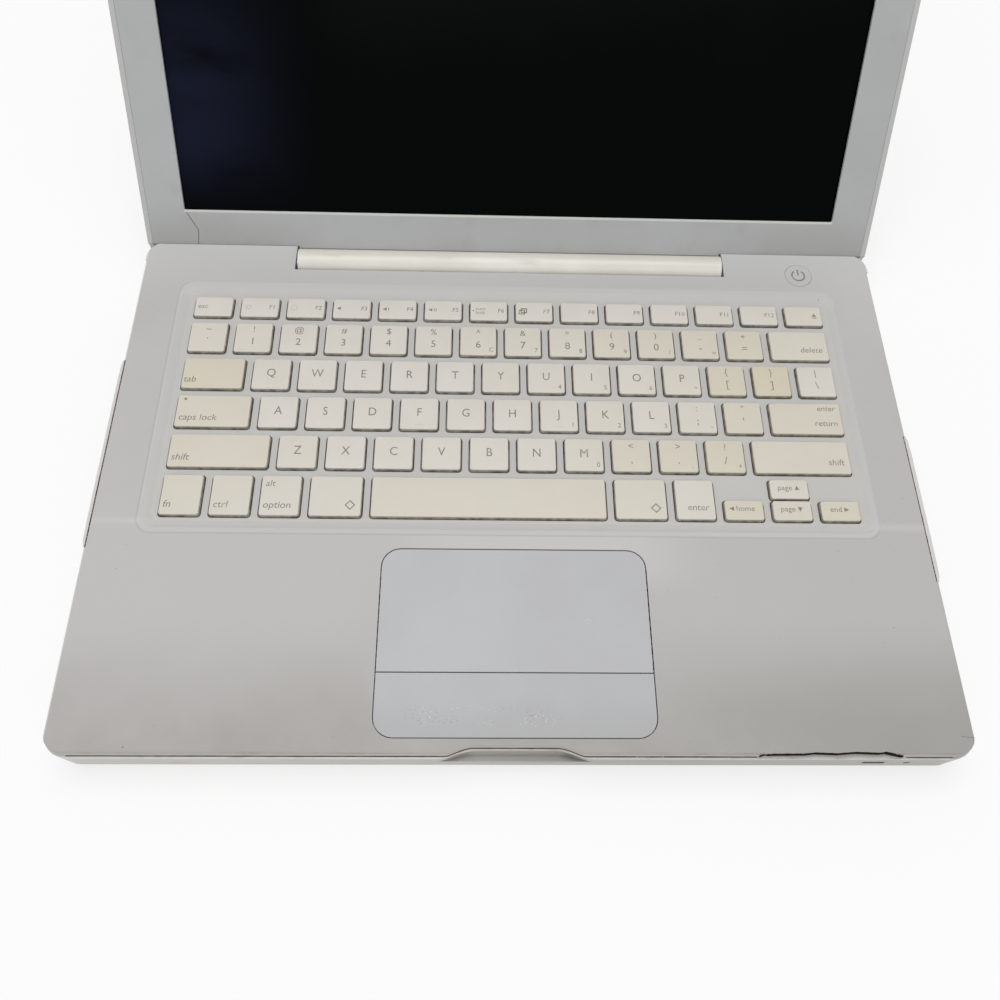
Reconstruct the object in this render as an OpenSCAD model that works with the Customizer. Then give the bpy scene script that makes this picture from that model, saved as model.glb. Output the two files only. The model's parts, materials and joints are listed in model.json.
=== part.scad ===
// Open notebook computer with a cracked, chipped and yellowed white plastic casing.
// Origin: centre of the base's footprint, on the surface it stands on. +X right, +Y back, +Z up.

/* [Base] */
// Width of base and lid
base_w = 325; // [312:1:390]
// Depth of the base
base_d = 227; // [220:1:275]
// Height of the base from its underside to the deck
base_h = 19; // [18.5:0.5:24]
// Height of the rubber feet below the underside
foot_h = 1; // [0.6:0.2:3]
// Radius of the four corners seen from above
corner_r = 9; // [6:0.5:14]
// Thickness of the plastic walls
wall = 1.2; // [1:0.1:1.6]
// Height of the top cover's rim above the seam between top cover and tray
rim_h = 3; // [2.4:0.2:4]

/* [Lid] */
// Thickness of the closed lid
lid_t = 6.7; // [6.4:0.1:9]
// Space between deck and display frame when shut
closed_gap = 0.8; // [0.6:0.1:1.2]
// Angle at which the lid stands open
open_angle = 126; // [60:1:128]
// Width of the lit screen area
screen_w = 288.6; // [250:0.2:290]
// Height of the lit screen area
screen_h = 180.4; // [150:0.2:182]

/* [Hinge] */
// Distance from the base's rearmost edge to the hinge axis
axis_inset = 10.9; // [10.5:0.1:12]
// Depth of the hinge axis below the deck
axis_drop = 3.5; // [3.2:0.1:4]
// Radius of the rounded rear edge beside the hinge cover
nose_r = 7.5; // [7.2:0.1:8]
// Radius of the hinge cover barrel
barrel_r = 6.2; // [5.8:0.1:6.4]
// Length of the hinge cover barrel
barrel_w = 189.2; // [150:0.2:200]
// Radius of the steel hinge pins
hinge_pin_r = 2; // [1.6:0.1:2.4]

/* [Keyboard] */
// Pitch of the keys along a row
key_pitch = 19.05; // [18.5:0.05:19.3]
// Pitch of the rows of keys
row_pitch = 18.2; // [17.8:0.1:18.4]
// Depth of the low function keys
function_key_d = 10.4; // [9:0.1:11]
// Travel of a key
key_travel = 2; // [1.5:0.1:2]
// Height of a key's top above the deck
key_proud = 0.3; // [0:0.1:0.4]

/* [Trackpad] */
// Width of trackpad and button
pad_w = 99.4; // [80:0.2:110]
// Depth of the trackpad's touch surface
pad_d = 47; // [36:0.5:48]
// Depth of the trackpad button
pad_button_d = 22.6; // [18:0.2:26]
// Distance from the base's front edge to the trackpad button
pad_front = 6.6; // [5:0.2:9]

/* [Hidden] */

fit = 0.3;                        // running clearance around keys, pads and barrel
pin_fit = 0.05;                   // radial clearance of the hinge pins
half_w = base_w / 2;
front_y = -base_d / 2;
rear_y = base_d / 2;
floor_z = foot_h + wall;          // inside floor of the tray
deck_z = foot_h + base_h;
seam_z = deck_z - rim_h;
top_wall = 1.8;                   // thickness of the deck
deck_under = deck_z - top_wall;
edge_r = 2.5;                     // rounding along the underside
deck_in = 0.8;                    // deck's edge inside the tray's outline
rim_r = 1.4;                      // rounding along the deck's edge

axis_y = rear_y - axis_inset;
axis_z = deck_z - axis_drop;
lid_under = deck_z + closed_gap;  // the display frame's face when shut
lid_top = lid_under + lid_t;
lid_tail = 8;                     // lid's rear edge behind the hinge axis
lid_rear_y = axis_y + lid_tail;
bezel_chin = 29.35;               // lid's rear edge to the screen opening
lid_edge_r = 3.2;
cove_r = nose_r + 0.4;            // hollow of the lid around the rounded rear edge
// space that the lid's rounded rear edge swings through
recess_r = norm([lid_tail - lid_edge_r, axis_drop + closed_gap + lid_t - lid_edge_r]) + lid_edge_r + 0.55;
recess_y = axis_y - 2.6;          // front wall of that space
slot_x = barrel_w / 2 + 1.2;      // half the gap in the deck for the hinge cover
slot_y = axis_y - barrel_r - fit;

// keyboard rows, from the function keys forward
keys_rear_y = axis_y - 22.7;
well_depth = 1.2;
well_z = deck_z - well_depth;
well_under = well_z - 1;
key_gap = 3.1;                    // space between neighbouring caps
key_top = deck_z + key_proud;
key_base = deck_z - 3.4;          // lower rim of a cap
key_d = row_pitch - key_gap;
grid_w = 14.5 * key_pitch;
well_x1 = grid_w / 2 + 4.9;
well_x0 = -well_x1;
function_y = keys_rear_y - function_key_d;
number_y = function_y - key_gap - key_d;
function row_y(i) = number_y - i * row_pitch; // front edge of row i, counted from the numbers
bottom_key_d = 17.5;
bottom_y = row_y(3) - key_gap - bottom_key_d;
half_key_d = (bottom_key_d - 0.3) / 2 + 0.2;
well_y0 = bottom_y - 5;
well_y1 = keys_rear_y + 5.6;
plate_z1 = key_base - key_travel - 0.3;
plate_z0 = plate_z1 - 0.6;
stem_r = 2.5;
under_keys = plate_z0 - key_travel - 0.1; // highest point for what lies under the keyboard

pad_y0 = front_y + pad_front;
pad_split = pad_y0 + pad_button_d;
pad_y1 = pad_split + 0.4 + pad_d;
pad_r = 7;
pad_gap = 0.35;
pad_top = deck_z - 0.2;
pad_t = 1.5;
pad_press = 0.5;                  // travel of the trackpad button
frame_z = pad_top - pad_t - 2.6;  // top of the tray under the trackpad

power_x = half_w - 33;
power_y = axis_y - 5.1;
power_r = 5.9;

port_x = -half_w + wall;          // ports start behind the left wall
board_z = floor_z + 2.4;
board_t = 1.2;
board_top = board_z + board_t;
port_step = 15.9;
port_y0 = axis_y - 18.6;          // power inlet, then forward
jack_r = 1.8;
jack_z = foot_h + 9;

fan_x = half_w - 41.5;
fan_y = axis_y - 48;
fan_r = 24;
cpu_x = 40;
cpu_y = axis_y - 33;

notch_out = 27.5;                 // half width of the thumb notch, outside and at its floor
notch_in = 13.4;
notch_d = 2.8;

infrared_x = 128;
sleep_x = 140;

drive_w = 128;
drive_x0 = half_w - 10.5 - drive_w;
drive_d = 127;
drive_y0 = front_y + 5.5;
slot_len = 122;
slot_z = floor_z + 5;

battery_w = 132;
battery_x0 = drive_x0 - 4 - battery_w;
battery_y0 = front_y + 7.5;
battery_d = 80;
battery_h = 11.4;
battery_r = 4;

latch_x = battery_x0 - 16;
latch_y = front_y + 26;

disk_x0 = battery_x0 - 4;
disk_w = 100;
disk_d = 70;
disk_y0 = battery_y0 + battery_d + 3.5;

screw_spots = concat(
  [[-half_w + 12, front_y + 10], [drive_x0 - 2, front_y + 10], [half_w - 6, front_y + 14]],
  [for (x = [-half_w + 12, -50, 50, half_w - 12]) [x, recess_y - 8]]);
// openings of the left wall, [y, width, z0, z1]
function port(i) = port_y0 - i * port_step;
port_cuts = [
  [port(0), 11, foot_h + 7, foot_h + 12.5],
  [port(1), 12.4, foot_h + 6, foot_h + 15],
  [port(2), 12.8, foot_h + 7, foot_h + 11.4],
  [port(3), 11.8, foot_h + 6.6, foot_h + 13],
  [port(4), 13.4, foot_h + 7, foot_h + 12.9],
  [port(5), 13.4, foot_h + 7, foot_h + 12.9]
];
jack_y = [port(5) - 13.2, port(5) - 22.2];
lock_y = port(5) - 31;

board_x0 = -half_w + 5.5;
board_x1 = fan_x - fan_r - 9;
board_step_x = disk_x0 + disk_w + 3;
board_y1 = recess_y - wall - 2.5;
board_mid_y = drive_y0 + drive_d + 3;
board_posts = [
  [board_x0 + 7, lock_y + 10], [disk_x0 - 9, lock_y + 70], [disk_x0 - 9, board_y1 - 10],
  [-60, board_y1 - 10], [0, board_y1 - 10], [board_x1 - 12, board_y1 - 10],
  [board_x1 - 12, board_mid_y + 8], [board_step_x + 13, board_mid_y + 8]];

// ---- outlines -------------------------------------------------------------------------

function arc_pts(x, y, r, a0, a1, n) =
  [for (i = [0:n]) let (a = a0 + (a1 - a0) * i / n) [x + r * cos(a), y + r * sin(a)]];

// rectangle with round corners, r1 at the two low-y corners and r2 at the two high-y corners
function round_rect(x0, y0, x1, y1, r1, r2, n = 6) = concat(
  arc_pts(x1 - r2, y1 - r2, r2, 0, 90, n), arc_pts(x0 + r2, y1 - r2, r2, 90, 180, n),
  arc_pts(x0 + r1, y0 + r1, r1, 180, 270, n), arc_pts(x1 - r1, y0 + r1, r1, 270, 360, n));

module plate(x0, y0, x1, y1, r, z0, z1, n = 6)
  translate([0, 0, z0]) linear_extrude(z1 - z0) polygon(round_rect(x0, y0, x1, y1, r, r, n));

module block(x0, x1, y0, y1, z0, z1) translate([x0, y0, z0]) cube([x1 - x0, y1 - y0, z1 - z0]);

module along_x(x0, x1) translate([x0, 0, 0]) rotate([90, 0, 90]) linear_extrude(x1 - x0) children();

module along_y(y0, y1) translate([0, y1, 0]) rotate([90, 0, 0]) linear_extrude(y1 - y0) children();

module rod_x(x0, x1, y, z, r) translate([x0, y, z]) rotate([0, 90, 0]) cylinder(h = x1 - x0, r = r, $fn = 96);

module post(x, y, z0, z1, r) translate([x, y, z0]) cylinder(h = z1 - z0, r = r, $fn = 48);

module both_sides() {
  children();
  mirror([1, 0, 0]) children();
}

// S-shaped thumb notch in the front edge, grown by g
function notch_pts(g) = concat(
  [[-notch_out - g, front_y - 1]],
  [for (i = [0:8]) [-notch_out - g + (notch_out - notch_in) * i / 8,
                    front_y + (notch_d + g) * (1 - cos(180 * i / 8)) / 2]],
  [for (i = [8:-1:0]) [notch_out + g - (notch_out - notch_in) * i / 8,
                       front_y + (notch_d + g) * (1 - cos(180 * i / 8)) / 2]],
  [[notch_out + g, front_y - 1]]);

module notch(z0, z1, g = 0) translate([0, 0, z0]) linear_extrude(z1 - z0) polygon(notch_pts(g));

// ---- casing ---------------------------------------------------------------------------

// the base's outer form between two heights, shrunk by g on its sides
module base_form(z0, z1, g = 0) {
  intersection() {
    plate(-half_w + g, front_y + g, half_w - g, rear_y - g, corner_r - g, z0, z1);
    along_y(front_y, rear_y)
      polygon(round_rect(-half_w + g, foot_h, half_w - g, deck_z, edge_r - g, rim_r));
    along_x(-half_w, half_w)
      polygon(round_rect(front_y + g, foot_h, rear_y - g, deck_z, edge_r - g, rim_r));
  }
}

// what the lid's rear edge swings through
module lid_sweep() {
  intersection() {
    rod_x(-half_w - 1, half_w + 1, axis_y, axis_z, recess_r);
    block(-half_w - 1, half_w + 1, recess_y, rear_y + 5, foot_h, deck_z + 20);
  }
}

// stepped wall along the rear: low behind the rounded edge, high in front of the barrel
module rear_wall() {
  block(-half_w + 2, half_w - 2, recess_y - wall, recess_y, foot_h + 0.5, axis_z - nose_r + 0.2);
  block(-slot_x - wall, slot_x + wall, slot_y - wall, recess_y, axis_z - nose_r - wall,
        axis_z - nose_r);
  block(-slot_x - wall, slot_x + wall, slot_y - wall, slot_y, axis_z - nose_r - wall, seam_z);
}

vent_w = 2;
vent_pitch = 4;
module vents() {
  both_sides()
    for (x = [slot_x + 8:vent_pitch:half_w - 12])
      block(x, x + vent_w, recess_y - wall - 1, recess_y + 1, floor_z + 1, axis_z - nose_r - 1.5);
}

module bottom_case() {
  color("whitesmoke") {
    difference() {
      union() {
        difference() {
          base_form(foot_h, seam_z);
          difference() {
            base_form(floor_z, seam_z + 1, wall);
            rear_wall();
            notch(foot_h, seam_z + 1, wall);
            block(-half_w, half_w, recess_y, rear_y, foot_h, axis_z);
          }
        }
        for (p = board_posts) post(p[0], p[1], floor_z - 0.5, board_z, 2.5);
      }
      lid_sweep();
      block(-slot_x, slot_x, slot_y, recess_y + 1, axis_z - nose_r, deck_z);
      block(-half_w - 1, half_w + 1, recess_y, rear_y + 1, axis_z - nose_r + 1.2, deck_z);
      vents();
      notch(seam_z - 6, deck_z);
      for (p = screw_spots) post(p[0], p[1], foot_h - 1, floor_z + 1, 1.1);
      for (p = screw_spots) post(p[0], p[1], foot_h - 1, foot_h + 0.6, 2.5);
      plate(battery_x0 - fit, battery_y0 - fit, battery_x0 + battery_w + fit,
            battery_y0 + battery_d + fit, battery_r + fit, foot_h - 1, floor_z + 1, 4);
      post(latch_x, latch_y, foot_h - 1, floor_z + 1, 6.2);
      for (p = port_cuts)
        block(-half_w - 1, -half_w + wall + 1, p[0] - p[1] / 2, p[0] + p[1] / 2, p[2], p[3]);
      for (y = jack_y) rod_x(-half_w - 1, -half_w + wall + 1, y, jack_z, 3.2);
      block(-half_w - 1, -half_w + wall + 1, lock_y - 3.5, lock_y + 3.5, jack_z - 1.6, jack_z + 1.6);
      block(half_w - wall - 1, half_w + 1, drive_y0 + 2.5, drive_y0 + 2.5 + slot_len, slot_z,
            slot_z + 1.9);
      block(infrared_x - 4, infrared_x + 4, front_y - 1, front_y + wall + 1, jack_z - 1.5, jack_z + 1.5);
      rod_y_hole(sleep_x, jack_z, 1.3);
    }
  }
}

module rod_y_hole(x, z, r) translate([x, front_y + wall + 1, z]) rotate([90, 0, 0])
  cylinder(h = wall + 2, r = r, $fn = 32);

// outlines of all caps, [centre x, front y, width, depth], one list for each group of keys
function run(x0, y, n, u, d, w = key_pitch) =
  [for (i = [0:n - 1]) [x0 + (i + 0.5) * u * w, y, u * w - key_gap, d]];
left_x = -grid_w / 2;
function at(cells) = left_x + cells * key_pitch;
function wide(cells, y, u, d = key_d) = [[at(cells) + u * key_pitch / 2, y, u * key_pitch - key_gap, d]];

k_function = run(left_x, function_y, 14, 1, function_key_d, grid_w / 14);
k_number = run(left_x, row_y(0), 13, 1, key_d);
k_delete = wide(13, row_y(0), 1.5);
k_tab = wide(0, row_y(1), 1.5);
k_upper = run(at(1.5), row_y(1), 13, 1, key_d);
k_caps = wide(0, row_y(2), 1.75);
k_home = run(at(1.75), row_y(2), 11, 1, key_d);
k_return = wide(12.75, row_y(2), 1.75);
k_shift_l = wide(0, row_y(3), 2.25);
k_lower = run(at(2.25), row_y(3), 10, 1, key_d);
k_shift_r = wide(12.25, row_y(3), 2.25);
k_modifier = run(left_x, bottom_y, 3, 1, bottom_key_d);
k_command_l = wide(3, bottom_y, 1.25, bottom_key_d);
k_space = wide(4.25, bottom_y, 5, bottom_key_d);
k_command_r = wide(9.25, bottom_y, 1.25, bottom_key_d);
k_enter = wide(10.5, bottom_y, 1, bottom_key_d);
k_left = wide(11.5, bottom_y, 1, half_key_d);
k_up = wide(12.5, bottom_y + half_key_d + 0.5, 1, half_key_d);
k_down = wide(12.5, bottom_y, 1, half_key_d);
k_right = wide(13.5, bottom_y, 1, half_key_d);
single_keys = concat(
  k_function, k_number, k_delete, k_tab, k_upper, k_caps, k_home, k_return, k_shift_l, k_lower,
  k_shift_r, k_modifier, k_command_l, k_space, k_command_r, k_enter, k_left, k_right);
arrow_pair = [k_up[0], k_down[0]];

module cap_outline(k, g) {
  polygon(round_rect(k[0] - k[2] / 2 - g, k[1] - g, k[0] + k[2] / 2 + g, k[1] + k[3] + g,
                     1.2 + g, 1.2 + g, 3));
}

function stem_spots(k) = k[2] > 60 ? [k[0] - k[2] / 3, k[0] + k[2] / 3] : [k[0]];

module keys(group) {
  color("ivory")
    for (k = group) {
      translate([0, 0, key_base]) linear_extrude(key_top - key_base) cap_outline(k, 0);
      for (x = stem_spots(k)) post(x, k[1] + k[3] / 2, plate_z0 + 0.1, key_base, stem_r);
    }
}

// wide soft-edged well around the keys, as steps of a slope
// dished space for the keys, with edges that slope over well_slope
well_slope = 3.5;
module keyboard_well()
  hull() {
    plate(well_x0, well_y0, well_x1, well_y1, 6, deck_z, deck_z + 1, 4);
    plate(well_x0 + well_slope, well_y0 + well_slope, well_x1 - well_slope, well_y1 - well_slope, 3,
          well_z, deck_z + 1, 4);
  }

// damage of the palm rest
chip = [[84.3, -0.4], [90, 0.6], [101, 0.7], [104, 1.1], [112, 0.8], [118.5, 1.3], [127, 1],
        [129, 1.4], [136.1, -0.4]];
crack_w = 0.35;
crack_depth = 1.3;
module cracks() {
  block(-half_w + 1.3, -half_w + 1.3 + crack_w, -36.9, 46.7, deck_z - crack_depth, deck_z + 1);
  block(-half_w, -half_w + 1.3 + crack_w, -36.9 - crack_w, -36.9, deck_z - crack_depth, deck_z + 1);
  block(half_w - 2, half_w - 2 + crack_w, -48.4, 15, deck_z - crack_depth, deck_z + 1);
  translate([0, front_y + deck_in, seam_z + 0.4]) linear_extrude(rim_h + 1) polygon(concat(
    [[84.3, -2]], chip, [[136.1, -2]]));
}

module rear_noses() {
  both_sides() intersection() {
    difference() {
      rod_x(slot_x, half_w - deck_in, axis_y, axis_z, nose_r);
      intersection() {
        rod_x(slot_x + 1.4, half_w - 1.6, axis_y, axis_z, nose_r - wall);
        block(slot_x, half_w, recess_y - 1, rear_y, axis_z - nose_r, deck_under);
      }
    }
    block(slot_x, half_w, recess_y, rear_y, axis_z - nose_r, deck_z);
    plate(-half_w + deck_in, front_y, half_w - deck_in, axis_y + nose_r, corner_r - deck_in, foot_h,
          deck_z);
  }
}

module top_case() {
  color("gainsboro")
    difference() {
      union() {
        difference() {
          intersection() {
            base_form(seam_z, deck_z, deck_in);
            block(-half_w, half_w, front_y, axis_y, seam_z, deck_z);
          }
          difference() {
            base_form(seam_z - 1, deck_under, wall + 1.2);
            block(-slot_x - wall, slot_x + wall, slot_y - wall, axis_y, seam_z - 1, deck_z);
            notch(seam_z - 1, deck_z, wall + deck_in);
          }
        }
        plate(well_x0 - 2, well_y0 - 2, well_x1 + 2, well_y1 + 2, 5, well_under, deck_under + 0.2, 4);
        rear_noses();
      }
      block(-slot_x, slot_x, slot_y, rear_y, seam_z - 2, deck_z + 1);
      keyboard_well();
      translate([0, 0, well_under - 1]) linear_extrude(5) {
        for (k = single_keys) cap_outline(k, fit);
        for (k = arrow_pair) cap_outline(k, fit);
      }
      plate(-pad_w / 2 - pad_gap, pad_y0 - pad_gap, pad_w / 2 + pad_gap, pad_y1 + pad_gap,
            pad_r + pad_gap, deck_under - 1, deck_z + 1);
      post(power_x, power_y, deck_under - 1, deck_z + 1, power_r + 0.15);
      both_sides() rod_x(slot_x - 1, slot_x + 2.2, axis_y, axis_z, hinge_pin_r + fit);
      notch(seam_z - 1, deck_z + 1, deck_in);
      cracks();
    }
}

module rubber_feet() {
  color("silver")
    for (x = [-half_w + 22, half_w - 22], y = [front_y + 20, recess_y - 18])
      post(x, y, 0, foot_h, 6);
}

module case_screws() {
  color("silver")
    for (p = screw_spots)
      difference() {
        union() {
          post(p[0], p[1], foot_h + 0.05, foot_h + 0.6, 2.3);
          post(p[0], p[1], foot_h + 0.6, floor_z + 2.2, 0.95);
        }
        translate([p[0] - 1.4, p[1] - 0.25, foot_h - 1]) cube([2.8, 0.5, 1.35]);
        translate([p[0] - 0.25, p[1] - 1.4, foot_h - 1]) cube([0.5, 2.8, 1.35]);
      }
}

// ---- inside the base --------------------------------------------------------------------

module battery() {
  color("white")
    plate(battery_x0, battery_y0, battery_x0 + battery_w, battery_y0 + battery_d, battery_r,
          foot_h, foot_h + battery_h, 4);
}

module battery_latch() {
  color("silver")
    difference() {
      union() {
        post(latch_x, latch_y, foot_h, foot_h + 0.9, 6);
        post(latch_x, latch_y, foot_h + 0.9, floor_z + 0.25, 2.4);
      }
      translate([latch_x - 5, latch_y - 0.8, foot_h - 1]) cube([10, 1.6, 1.5]);
    }
}

module logic_board() {
  color("darkgreen")
    translate([0, 0, board_z]) linear_extrude(board_t) polygon([
      [board_x0, lock_y], [disk_x0 - 3, lock_y], [disk_x0 - 3, disk_y0 + disk_d + 3],
      [board_step_x, disk_y0 + disk_d + 3], [board_step_x, board_mid_y],
      [board_x1, board_mid_y], [board_x1, board_y1], [board_x0, board_y1]]);
  color("dimgray") {
    block(cpu_x - 17, cpu_x + 17, cpu_y - 17, cpu_y + 17, board_top, board_top + 1.8);
    block(-14, 20, cpu_y - 8, cpu_y + 16, board_top, board_top + 1.4);
    block(-90, -62, board_y1 - 36, board_y1 - 12, board_top, board_top + 1.6);
  }
}

fin_y0 = fan_y + fan_r + 2;
fin_y1 = recess_y - wall - 1;
module heat_sink() {
  pipe_z = board_top + 1.8;
  color("peru") {
    block(cpu_x - 16, cpu_x + 16, cpu_y - 14, cpu_y + 14, pipe_z, pipe_z + 1.4);
    block(cpu_x, fan_x + 22, fin_y0 + 0.2, fin_y0 + 8.2, pipe_z + 0.2, pipe_z + 3);
    block(cpu_x, cpu_x + 8, cpu_y, fin_y0 + 8.2, pipe_z + 0.2, pipe_z + 3);
  }
  color("silver") {
    for (x = [fan_x - 22:2.4:fan_x + 22])
      block(x, x + 0.7, fin_y0 + 8.2, fin_y1, floor_z + 0.4, pipe_z + 3);
    block(fan_x - 22, fan_x + 22.5, fin_y0 + 0.2, fin_y1, pipe_z + 2.4, pipe_z + 3);
  }
}

module fan_housing() {
  z0 = floor_z + 0.2;
  z1 = under_keys - 0.3;
  color("darkslategray") {
    difference() {
      block(fan_x - fan_r - 2, fan_x + fan_r + 2, fan_y - fan_r - 2, fan_y + fan_r + 1.8, z0, z1);
      post(fan_x, fan_y, z0 + 0.8, z1 - 0.8, fan_r);
      post(fan_x, fan_y, z1 - 1, z1 + 1, fan_r * 0.7);
      block(fan_x - fan_r + 3, fan_x + fan_r - 3, fan_y, fan_y + fan_r + 4, z0 + 0.8, z1 - 0.8);
    }
    post(fan_x, fan_y, z0 + 0.5, z0 + 4.5, 1.2);
  }
}

blade_n = 17;
module fan_rotor() {
  z0 = floor_z + 1.6;
  z1 = under_keys - 1.7;
  color("black")
    difference() {
      union() {
        post(fan_x, fan_y, z0, z1, 9);
        for (i = [0:blade_n - 1])
          translate([fan_x, fan_y, z0]) rotate(i * 360 / blade_n) translate([8.5, -0.4, 0])
            cube([fan_r - 10.5, 0.8, z1 - z0]);
      }
      post(fan_x, fan_y, z0 - 1, z0 + 4, 1.25);
    }
}

module hard_drive() {
  color("lightgray")
    difference() {
      block(disk_x0, disk_x0 + disk_w, disk_y0, disk_y0 + disk_d, floor_z + 0.2, under_keys - 0.2);
      post(disk_x0 + 36, disk_y0 + 35, under_keys - 0.8, under_keys + 1, 30);
    }
}

module optical_drive() {
  color("silver")
    difference() {
      block(drive_x0, drive_x0 + drive_w, drive_y0, drive_y0 + drive_d, floor_z + 0.15,
            under_keys - 0.2);
      block(drive_x0 + 4, drive_x0 + drive_w + 1, drive_y0 + 2.5, drive_y0 + 2.5 + slot_len,
            slot_z, slot_z + 1.9);
    }
}

memory_x = board_step_x + 17;
memory_y = drive_y0 + drive_d + 4.5;
module memory_modules() {
  color("green")
    for (i = [0:1])
      block(memory_x, memory_x + 67.6, memory_y, memory_y + 28, board_top + 1 + i * 2,
            board_top + 1.9 + i * 2);
  color("black")
    block(memory_x - 1.5, memory_x + 69.1, memory_y - 4, memory_y, board_top, board_top + 4.6);
}

module wireless_card() {
  y = board_y1 - 12.3;
  color("darkgreen") block(-54, -24, y - 26, y, board_top + 1.6, board_top + 2.6);
  color("black") block(-55, -23, y, y + 3.5, board_top, board_top + 3.6);
}

speaker_h = 4;
module speakers() {
  z0 = board_top + 5.2;
  color("black")
    both_sides()
      difference() {
        block(118, 144, well_y1 + 1.8, recess_y - 2, z0, z0 + speaker_h);
        post(131, recess_y - 7, z0 + speaker_h - 0.8, z0 + speaker_h + 1, 4);
      }
}

// a socket behind the left wall: metal box with a cavity and a contact tongue
module socket(p, depth, tongue) {
  difference() {
    block(port_x, port_x + depth, p[0] - p[1] / 2 - 0.8, p[0] + p[1] / 2 + 0.8, p[2] - 0.8, p[3] + 0.8);
    block(port_x - 1, port_x + depth - 1.5, p[0] - p[1] / 2 + 0.2, p[0] + p[1] / 2 - 0.2,
          p[2] + 0.2, p[3] - 0.2);
  }
  if (tongue > 0)
    block(port_x + 1, port_x + depth - 1, p[0] - p[1] / 2 + 2, p[0] + p[1] / 2 - 2,
          (p[2] + p[3] - tongue) / 2, (p[2] + p[3] + tongue) / 2);
  // foot that carries it on the board
  block(port_x + 6, port_x + depth - 1, p[0] - 3.5, p[0] + 3.5, board_top, p[2] - 0.5);
}

module power_inlet() {
  color("silver") socket(port_cuts[0], 13, 0);
  color("gold")
    for (i = [-2:2])
      rod_x(port_x + 3, port_x + 12, port(0) + i * 1.8, foot_h + 9.75, 0.6);
}

module ethernet_jack() color("silver") socket(port_cuts[1], 16, 0);

module video_port() color("silver") socket(port_cuts[2], 13, 1);

module serial_port() color("silver") socket(port_cuts[3], 14, 2);

module usb_ports() color("silver") for (i = [4:5]) socket(port_cuts[i], 14, 1.8);

module audio_jacks() {
  color("dimgray")
    for (y = jack_y)
      difference() {
        union() {
          block(port_x, port_x + 13, y - 3.8, y + 3.8, board_top, jack_z + 4);
          rod_x(-half_w + 0.2, port_x, y, jack_z, 3);
        }
        rod_x(-half_w - 1, port_x + 11.5, y, jack_z, jack_r);
      }
}

module infrared_window() {
  color("black")
    block(infrared_x - 3.8, infrared_x + 3.8, front_y + 0.3, front_y + wall + 1.2, jack_z - 1.3,
          jack_z + 1.3);
}

module sleep_light() {
  color("white") translate([sleep_x, front_y + wall + 1.2, jack_z]) rotate([90, 0, 0])
    cylinder(h = wall + 0.9, r = 1.2, $fn = 32);
}

module power_switch_board() {
  z = deck_z - 3.8;
  color("darkgreen") {
    block(power_x - 9, power_x + 9, power_y - 6.5, power_y + 2.5, z - 1, z);
    for (x = [power_x - 8, power_x + 8]) post(x, power_y - 4.9, z, deck_under, 1);
  }
}

module power_button() {
  color("gainsboro") {
    post(power_x, power_y, deck_z - 1.2, deck_z + 0.05, power_r);
    post(power_x, power_y, deck_z - 3.1, deck_z - 1.2, 2);
  }
}

// ---- trackpad ---------------------------------------------------------------------------

module pad_form(y0, y1, z0, z1) {
  intersection() {
    plate(-pad_w / 2, pad_y0, pad_w / 2, pad_y1, pad_r, z0, z1);
    block(-pad_w / 2, pad_w / 2, y0, y1, z0, z1);
  }
}

module frame_plate(g, z0, z1)
  plate(-pad_w / 2 - g, pad_y0 - g, pad_w / 2 + g, pad_y1 + g, pad_r, z0, z1, 4);

module trackpad_frame() {
  color("silver") {
    frame_plate(1.7, frame_z - 1, frame_z);
    difference() {
      frame_plate(1.7, frame_z, deck_under);
      frame_plate(0.9, frame_z, deck_under);
    }
    block(-pad_w / 2 + 6, pad_w / 2 - 6, pad_split + 6, pad_y1 - 8, frame_z, pad_top - pad_t);
  }
  color("black") post(0, pad_y0 + pad_button_d / 2, frame_z, frame_z + 0.7, 3);
}

module trackpad_plate() {
  color("lightsteelblue") pad_form(pad_split + 0.4, pad_y1, pad_top - pad_t, pad_top);
}

module trackpad_button() {
  color("lightsteelblue") {
    pad_form(pad_y0, pad_split, pad_top - pad_t, pad_top);
    post(0, pad_y0 + pad_button_d / 2, frame_z + 0.7 + pad_press + 0.1, pad_top - pad_t, 2.2);
  }
}

// ---- keyboard ---------------------------------------------------------------------------

module keyboard_plate() {
  color("lightgray")
    difference() {
      union() {
        block(well_x0 - 1.5, well_x1 + 1.5, well_y0 - 1.5, well_y1 + 1.5, plate_z0, plate_z1);
        difference() {
          block(well_x0 - 1.5, well_x1 + 1.5, well_y0 - 1.5, well_y1 + 1.5, plate_z1, well_under);
          block(well_x0, well_x1, well_y0, well_y1, plate_z1 - 0.1, well_under + 1);
        }
      }
      for (k = single_keys, x = stem_spots(k))
        post(x, k[1] + k[3] / 2, plate_z0 - 1, plate_z1 + 1, stem_r + fit);
      for (k = arrow_pair)
        post(k[0], k[1] + k[3] / 2, plate_z0 - 1, plate_z1 + 1, stem_r + fit);
    }
}

// ---- hinge and lid, drawn shut and turned open ------------------------------------------

module swung() {
  translate([0, axis_y, axis_z]) rotate([-open_angle, 0, 0]) translate([0, -axis_y, -axis_z])
    children();
}

module hinge_bracket() {
  color("silver") {
    intersection() {
      union() {
        rod_x(slot_x + 1.8, slot_x + 20, axis_y, axis_z, 4);
        block(slot_x + 2, slot_x + 20, recess_y - 10, axis_y, deck_under - 2.2, deck_under - 0.1);
      }
      block(slot_x, slot_x + 20, recess_y - 10, rear_y, axis_z - 5, deck_under - 0.1);
    }
    rod_x(barrel_w / 2 - 24, slot_x + 2, axis_y, axis_z, hinge_pin_r);
  }
}

module hinge_bracket_left() mirror([1, 0, 0]) hinge_bracket();

module hinge_bracket_right() hinge_bracket();

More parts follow.
